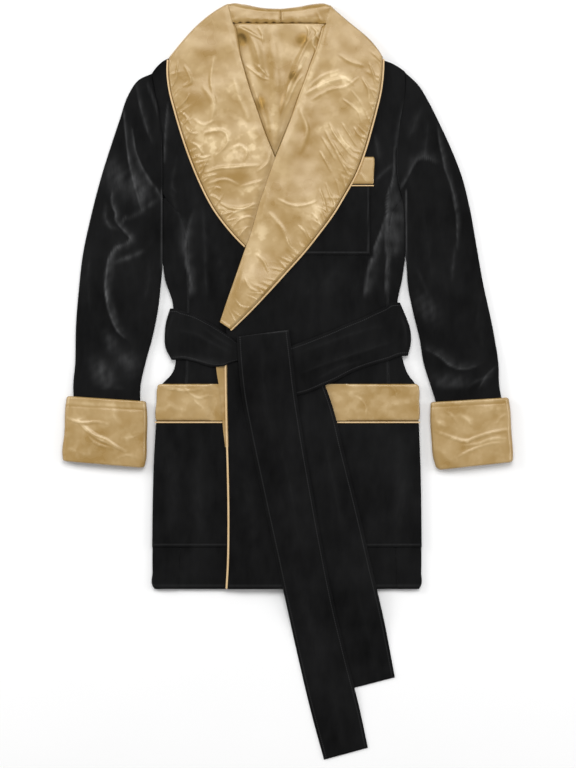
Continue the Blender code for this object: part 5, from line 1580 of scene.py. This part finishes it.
line = offset_line(smooth(COLLAR_RIGHT[:, 2:], 240), -0.0008)
limit = edge_x(COLLAR_LEFT, line[:, 1]) - 0.0026
line = line[(line[:, 0] < limit) & (line[:, 1] < py(60.5))]
laid_cord("piping_cord_collar_right", line, right_surface, 0.0016, "piping_collar_right")
line = offset_line(smooth(COLLAR_LEFT[:, 2:], 320), 0.0008)
line = line[line[:, 1] < py(60)]
laid_cord("piping_cord_collar_left", line, left_surface, 0.0016, "piping_collar_left")
line = smooth(places([(225.4, 352), (225.6, 370), (226, 400), (226.8, 436), (227.8, 470),
                      (228.5, 530), (227.9, 565), (226.6, 588)]), 160)
laid_cord("piping_cord_front", line, lambda x, y: body_lift(y) + 0.0107, 0.0016, "piping_front")
for name, first, last, row, surface, radius, node in (
    ("piping_cord_hip_right", 155.4, 221.8, 422.3, right_surface, 0.0013, "piping_hip_right"),
    ("piping_cord_hip_left", 337.5, 419.4, 422.3, left_surface, 0.0013, "piping_hip_left"),
    ("piping_cord_chest",
     float(edge_x(COLLAR_LEFT, py(185.7), 2) + LAPEL_GAP) / PIXEL + MIDDLE_X, 373.4, 185.7,
     left_surface, 0.0010, "piping_chest"),
):
    xs = np.linspace(float(px(first)), float(px(last)), 60)
    line = np.stack([xs, np.full(60, float(py(row)))], axis=1)
    laid_cord(name, line, surface, radius, node)

# %% [markdown]
# ## The belt
# The belt is a flat velvet band 71 mm wide with a row of stitches just inside each edge. It goes
# round the waist and under the back, and its two ends hang from the tie: the short one flows on
# from the stretch at the viewer's right, and the long one is folded over the tie and lies on top. A
# few control points give each stretch its course, and smooth curves through them fill in the rest.

# %% The belt's course round the waist
BELT_THICKNESS = 0.0026
BELT_SEAMS = (0.0592, 0.9408)  # shares of the width, at the rows of stitches
BELT_RISE, BELT_TURN = 0.0110, 0.0065  # the fold at the jacket's edge: its rise and its reach
# a place on the upper edge, then one on the lower edge, and the height of the underside
BELT_RIGHT_TOP = [
    (246, 348, 246, 359, 0.0174), (237, 343, 237, 361, 0.0174), (230, 337, 230, 363, 0.0174),
    (223, 332, 224, 366, 0.0173), (217.5, 328.2, 219.5, 366.6, 0.0162),
    (211, 324, 214.6, 366.8, 0.0147), (203, 319.4, 207, 365.8, 0.0122),
    (192, 314, 196, 362, 0.0111), (180, 310.5, 184, 359.5, 0.011),
]
BELT_RIGHT_FOLD = places([(170, 308.5), (166.4, 320), (164.6, 333), (165.2, 347), (171.5, 360)])
BELT_LEFT_TOP = [
    (385, 307, 387, 361, 0.0113), (374, 312, 376, 364, 0.0127), (364, 317, 366, 367, 0.0144),
    (353, 321.5, 355, 371, 0.0162), (343, 325.6, 345, 375.6, 0.0176), (333, 330, 335, 381, 0.0205),
    (320, 335.2, 322, 386.6, 0.0205), (305, 341, 307, 393, 0.0205), (291, 346, 291, 397, 0.0205),
]
BELT_LEFT_FOLD = places([(400, 302.5), (405, 314), (410.5, 330), (410.8, 345), (408, 356)])
BELT_CREASES = [
    # half width, height, light, lean, then the line
    (5, 0.8, 0.04, 0, 178, 330, 196, 334, 214, 344, 230, 352),
    (5, 0.9, 0.1, 0.2, 174, 356, 190, 359, 206, 362, 226, 364),
    (4, 0.6, 0.04, 0, 204, 328, 218, 338, 234, 347),
    (6, 0.8, 0.04, 0, 300, 352, 326, 343, 352, 334, 380, 326),
    (6, 0.9, 0.05, 0.2, 304, 372, 330, 362, 360, 352, 392, 342),
    (4, 0.6, 0.04, 0, 316, 380, 338, 368, 362, 361),
    (4, 0.6, 0.06, 0, 400, 310, 405, 328, 406, 348),
    (4, 0.6, 0.06, 0, 172, 316, 168, 332, 169, 350),
]
END_CREASES = [
    # half width, height, light, lean, then the line
    (1.6, 0, 0.36, 0, 239, 336, 262, 333, 288, 331),
    (9, 0.7, 0.03, 0, 262, 352, 264, 392, 272, 436),
    (7, 0.5, 0.03, 0, 280, 440, 292, 498, 300, 546),
    (10, 0.6, 0.03, 0, 296, 566, 310, 620, 326, 676),
    (8, 0.5, 0.02, 0, 330, 690, 340, 722, 344, 744),
    (8, 0.5, 0.03, 0, 322, 430, 334, 486, 342, 530),
    (8, 0.5, 0.02, 0, 352, 570, 364, 620, 376, 668),
]
ACROSS = np.linspace(0, 1, 5)
FOLD_STEPS = ((1.6, 1.0), (0.45, 0.86), (0.0, 0.5), (0.45, 0.14), (1.6, 0.0))
print("belt creases:", len(BELT_CREASES) + len(END_CREASES))


# %% The belt round the waist
def belt_rim(shares, start=0.32, reach=0.035):
    """Thickness across the belt, rounded at its two folded edges."""
    near = np.minimum(shares, 1 - shares)
    return start + (1 - start) * rounded(near, reach)


def belt_controls():
    """Columns of points across the belt, outer and inner, along its way round the waist."""
    outer, inner = [], []

    def top_column(row):
        plan = places([row[:4]])[0]
        points = plan[:2] + (plan[2:] - plan[:2]) * ACROSS[:, None]
        outer.append(np.column_stack([points, np.full(5, row[4] + BELT_THICKNESS)]))
        inner.append(np.column_stack([points, np.full(5, row[4])]))

    def fold_columns(rows, toward, steps):
        edge = smooth(rows, 5)
        high, t, r = BELT_RISE + BELT_THICKNESS, BELT_THICKNESS, BELT_TURN
        for share, z in steps:
            clear = np.clip(high * z, t, high - t)
            for points, reach, level in ((outer, r * share, high * z),
                                         (inner, max(r * share, t), clear)):
                points.append(np.column_stack([edge[:, 0] + toward * reach, edge[:, 1],
                                               np.full(5, level)]))

    for row in BELT_RIGHT_TOP:
        top_column(row)
    fold_columns(BELT_RIGHT_FOLD, 1, FOLD_STEPS)
    for x in np.linspace(-0.150, 0.150, 7):
        y = np.linspace(0.104, 0.034, 5)
        outer.append(np.column_stack([np.full(5, x), y, np.zeros(5)]))
        inner.append(np.column_stack([np.full(5, x), y, np.full(5, BELT_THICKNESS - 0.0001)]))
    fold_columns(BELT_LEFT_FOLD, -1, FOLD_STEPS[::-1])
    for row in BELT_LEFT_TOP:
        top_column(row)
    return np.array(outer), np.array(inner)


outer, inner = belt_controls()
run = along(outer[:, 2])
want = np.linspace(0, run[-1], fine(float(run[-1]), 0.0032))
shares = np.concatenate([np.linspace(0, 0.04, 5), np.linspace(0.04, 0.96, 30)[1:-1],
                         np.linspace(0.96, 1, 5)])
outer = hermite(run, outer, want)
inner = hermite(run, inner, want)
outer = np.stack([hermite(ACROSS, column, shares) for column in outer])
inner = np.stack([hermite(ACROSS, column, shares) for column in inner])
x, y = outer[..., 0], outer[..., 1]
upper = ease((outer[..., 2] - 0.0125) / 0.001)
relief = creases(x, y, BELT_CREASES)[0] + 0.0003 * (1 + waves(x, y, 0.03, 101))
crown = 0.0008 * np.sin(np.pi * shares)[None, :]
thin = BELT_THICKNESS * (belt_rim(shares) - 1)[None, :]
stitch = sum(seam_dip((shares[None, :] - place) * BELT_WIDTH, 0.0004, 0.0010)
             for place in BELT_SEAMS)
hidden = ease((x - px(291)) / 0.02) + ease((px(240) - x) / 0.02)
outer[..., 2] += upper * (relief * np.clip(hidden, 0, 1) + crown + thin + stitch)
maps = np.stack(np.meshgrid(shares * BELT_WIDTH, want), axis=2)
belt_round = sheet("velvet_belt_round", outer, inner, maps)


# Painted highlights on the belt's creases, on its upper face only
def belt_painted_light(at):
    return creases(at[:, 0], at[:, 1], BELT_CREASES)[1] * (at[:, 2] > 0.012)


dress(belt_round, belt_velvet, "belt_round", (0.071, 0.66), ["velvet_back"], belt_painted_light,
      share=0.95)

# %% The courses of the belt's ends
# a place on the left edge, then one on the right edge
SHORT_END = places([
    (256, 360, 309, 352), (268, 385, 322, 378), (281, 415, 333, 408), (291, 455, 342.5, 447),
    (305, 515, 357, 505), (319.5, 577, 371.5, 567), (332, 630, 384, 620), (350.5, 689, 395, 677.5),
])
LONG_END = places([
    (237, 337, 289, 330), (238.5, 362, 292, 355), (242, 395, 296, 390), (249, 432, 302, 430),
    (260.5, 486, 310, 478), (275, 552, 322, 545), (288, 612, 334, 605), (300, 666, 347.5, 661),
    (311, 712, 359, 706), (324, 760, 368, 748),
])
# Height of the underside: y, short end, long end's left edge, long end over the short end
END_HEIGHTS = np.array([
    (0.080, 0.0171, 0.0246, 0.0246), (0.018, 0.0172, 0.0246, 0.0246),
    (-0.030, 0.0173, 0.0180, 0.0246), (-0.060, 0.0172, 0.0144, 0.0206),
    (-0.262, 0.0169, 0.0143, 0.0201), (-0.290, 0.0147, 0.0143, 0.0178),
    (-0.328, 0.0143, 0.0143, 0.0174), (-0.355, 0.0092, 0.0092, 0.0126),
    (-0.385, 0.0030, 0.0030, 0.0064), (-0.415, 0.0000, 0.0000, 0.0031),
    (-0.486, 0.0000, 0.0000, 0.0031), (-0.535, 0.0000, 0.0000, 0.0000),
    (-0.600, 0.0000, 0.0000, 0.0000),
])


def end_height(y, column):
    return np.interp(-y, -END_HEIGHTS[:, 0], END_HEIGHTS[:, column])


def long_height(x, y):
    edge = edge_x(SHORT_END, y)
    over = ease((x - edge + 0.036) / 0.030)
    return end_height(y, 2) * (1 - over) + end_height(y, 3) * over


print("over the tie the long end lies", round(float(end_height(0.05, 3)) * 1000, 1), "mm high")


# %% The belt's ends
LIP_UNDERSIDE = 0.0171    # how low the long end's fold over the tie comes down


def belt_end(name, rows, height, lip, seed):
    """A belt end. The one with a lip turns down over the tie at its upper end."""
    spokes = smooth(rows, fine(float(along(rows[:, :2])[-1]), 0.0030))
    tip = spokes[-1] - spokes[-2]
    tip = tip / np.linalg.norm(tip[:2])
    last = np.array([spokes[-1] - tip * d for d in (0.0025, 0.0015, 0.0007, 0.0002, 0)])
    spokes = np.vstack([spokes[:-1], last])
    plan = between(spokes[:, :2], spokes[:, 2:], shares)
    x, y = plan[..., 0], plan[..., 1]
    low = height(x, y)
    thick = BELT_THICKNESS * np.tile(belt_rim(shares), (len(plan), 1))
    thick[-5:] *= np.array([0.97, 0.9, 0.75, 0.55, 0.35])[:, None]
    relief = creases(x, y, END_CREASES)[0] + 0.00022 * (1 + waves(x, y, 0.05, seed))
    relief = (relief + stitch) * belt_rim(shares, 0.0, 0.05)[None, :]
    if lip:
        top = low + thick + relief
        down = unit(plan[3] - plan[0])
        steps = (0, 0.0005, 0.0012, 0.0024, 0.0036, 0.0042)
        lips = np.array([plan[0] + down * d for d in steps])
        lip_low = np.full((6, plan.shape[1]), LIP_UNDERSIDE)
        lip_low[5] = low[0]
        rise = np.array([-0.0014, 0.0004, 0.0014, 0.0022, 0.0026, 0.0027])[:, None]
        lip_top = low[0] + rise * thick[0] / BELT_THICKNESS
        plan = np.concatenate([lips, plan[2:]])
        low = np.concatenate([lip_low, low[2:]])
        top = np.concatenate([lip_top, top[2:]])
    else:
        top = low + thick + relief * ease((x - edge_x(LONG_END, y, 2)) / 0.006)
    maps = np.stack(np.meshgrid(shares * BELT_WIDTH, along(plan[:, plan.shape[1] // 2])), axis=2)
    return sheet(name, raised(plan, top), raised(plan, low), maps)


# Painted highlights on the creases of the belt's ends, and a painted light line where the long end
# turns over the tie
def end_painted_light(at):
    return creases(at[:, 0], at[:, 1], END_CREASES)[1]


short_end = belt_end("velvet_belt_end_short", SHORT_END, lambda x, y: end_height(y, 1), False, 103)
dress(short_end, belt_velvet, "belt_end_short", (0.080, 0.53), ["velvet_front_left"],
      end_painted_light)
long_end = belt_end("velvet_belt_end_long", LONG_END, long_height, True, 107)
dress(long_end, belt_velvet, "belt_end_long", (0.080, 0.67), ["velvet_belt_end_short"],
      end_painted_light)

# %% [markdown]
# ## Floor, light and camera
# The photo is a plain studio cut-out: white ground, soft light from above the collar, and shadows
# so faint that they only show below the hem and the cuffs. One wide lamp lights everything, and
# two lower ones rake along the cloth from the left and the right so that its creases show.

# %% The floor
floor_finish = Finish("pale_floor")
grain = floor_finish.noise(floor_finish.node("ShaderNodeTexCoord", None, None, 3), 6.0, 2.0, 0.5)
paint = floor_finish.colour(grain, (0.98, 0.98, 0.98), (1.0, 1.0, 1.0))
floor_look = floor_finish.done(Base_Color=paint, Roughness=0.9, Specular_IOR_Level=0.1)
bm = bmesh.new()
bmesh.ops.create_grid(bm, x_segments=2, y_segments=2, size=12.0)
floor_mesh = bpy.data.meshes.new("floor")
bm.to_mesh(floor_mesh)
bm.free()
floor = bpy.data.objects.new("floor", floor_mesh)
floor_mesh.transform(Matrix.Translation((0, 0, -0.0004)))
bpy.context.scene.collection.objects.link(floor)
floor_mesh.materials.append(floor_look)


# %% The lamps
def lamp(name, place, size, power):
    """A rectangular lamp that is aimed at the origin."""
    data = bpy.data.lights.new(name, "AREA")
    data.shape = "RECTANGLE"
    data.size, data.size_y = size
    data.energy = power
    made = bpy.data.objects.new(name, data)
    made.location = place
    made.rotation_euler = (-Vector(place)).to_track_quat("-Z", "Y").to_euler()
    bpy.context.scene.collection.objects.link(made)


lamp("wide_top", (0.2, 1.6, 3.2), (2.4, 1.6), 62)
lamp("rake_left", (-2.2, 0.9, 1.3), (1.2, 1.0), 26)
lamp("rake_right", (2.0, 0.2, 1.2), (0.8, 1.2), 12)
world = bpy.data.worlds.new("studio")
bpy.context.scene.world = world
world.use_nodes = True
world.node_tree.nodes["Background"].inputs["Color"].default_value = (1, 1, 1, 1)
world.node_tree.nodes["Background"].inputs["Strength"].default_value = 0.45
print("lamps:", [data.name for data in bpy.data.lights])

# %% The camera
scene = bpy.context.scene
scene.view_settings.view_transform = "Standard"
camera_data = bpy.data.cameras.new("camera")
camera_data.lens = 200
camera_data.sensor_width = 36
camera = bpy.data.objects.new("camera", camera_data)
distance = PHOTO_ROWS * PIXEL * camera_data.lens / camera_data.sensor_width
camera.location = (float(px(PHOTO_COLUMNS / 2)) + SHIFT[0],
                   float(py(PHOTO_ROWS / 2)) + SHIFT[1], distance + 0.006)
scene.collection.objects.link(camera)
scene.camera = camera
print("the camera stands", round(distance, 2), "m above the floor")
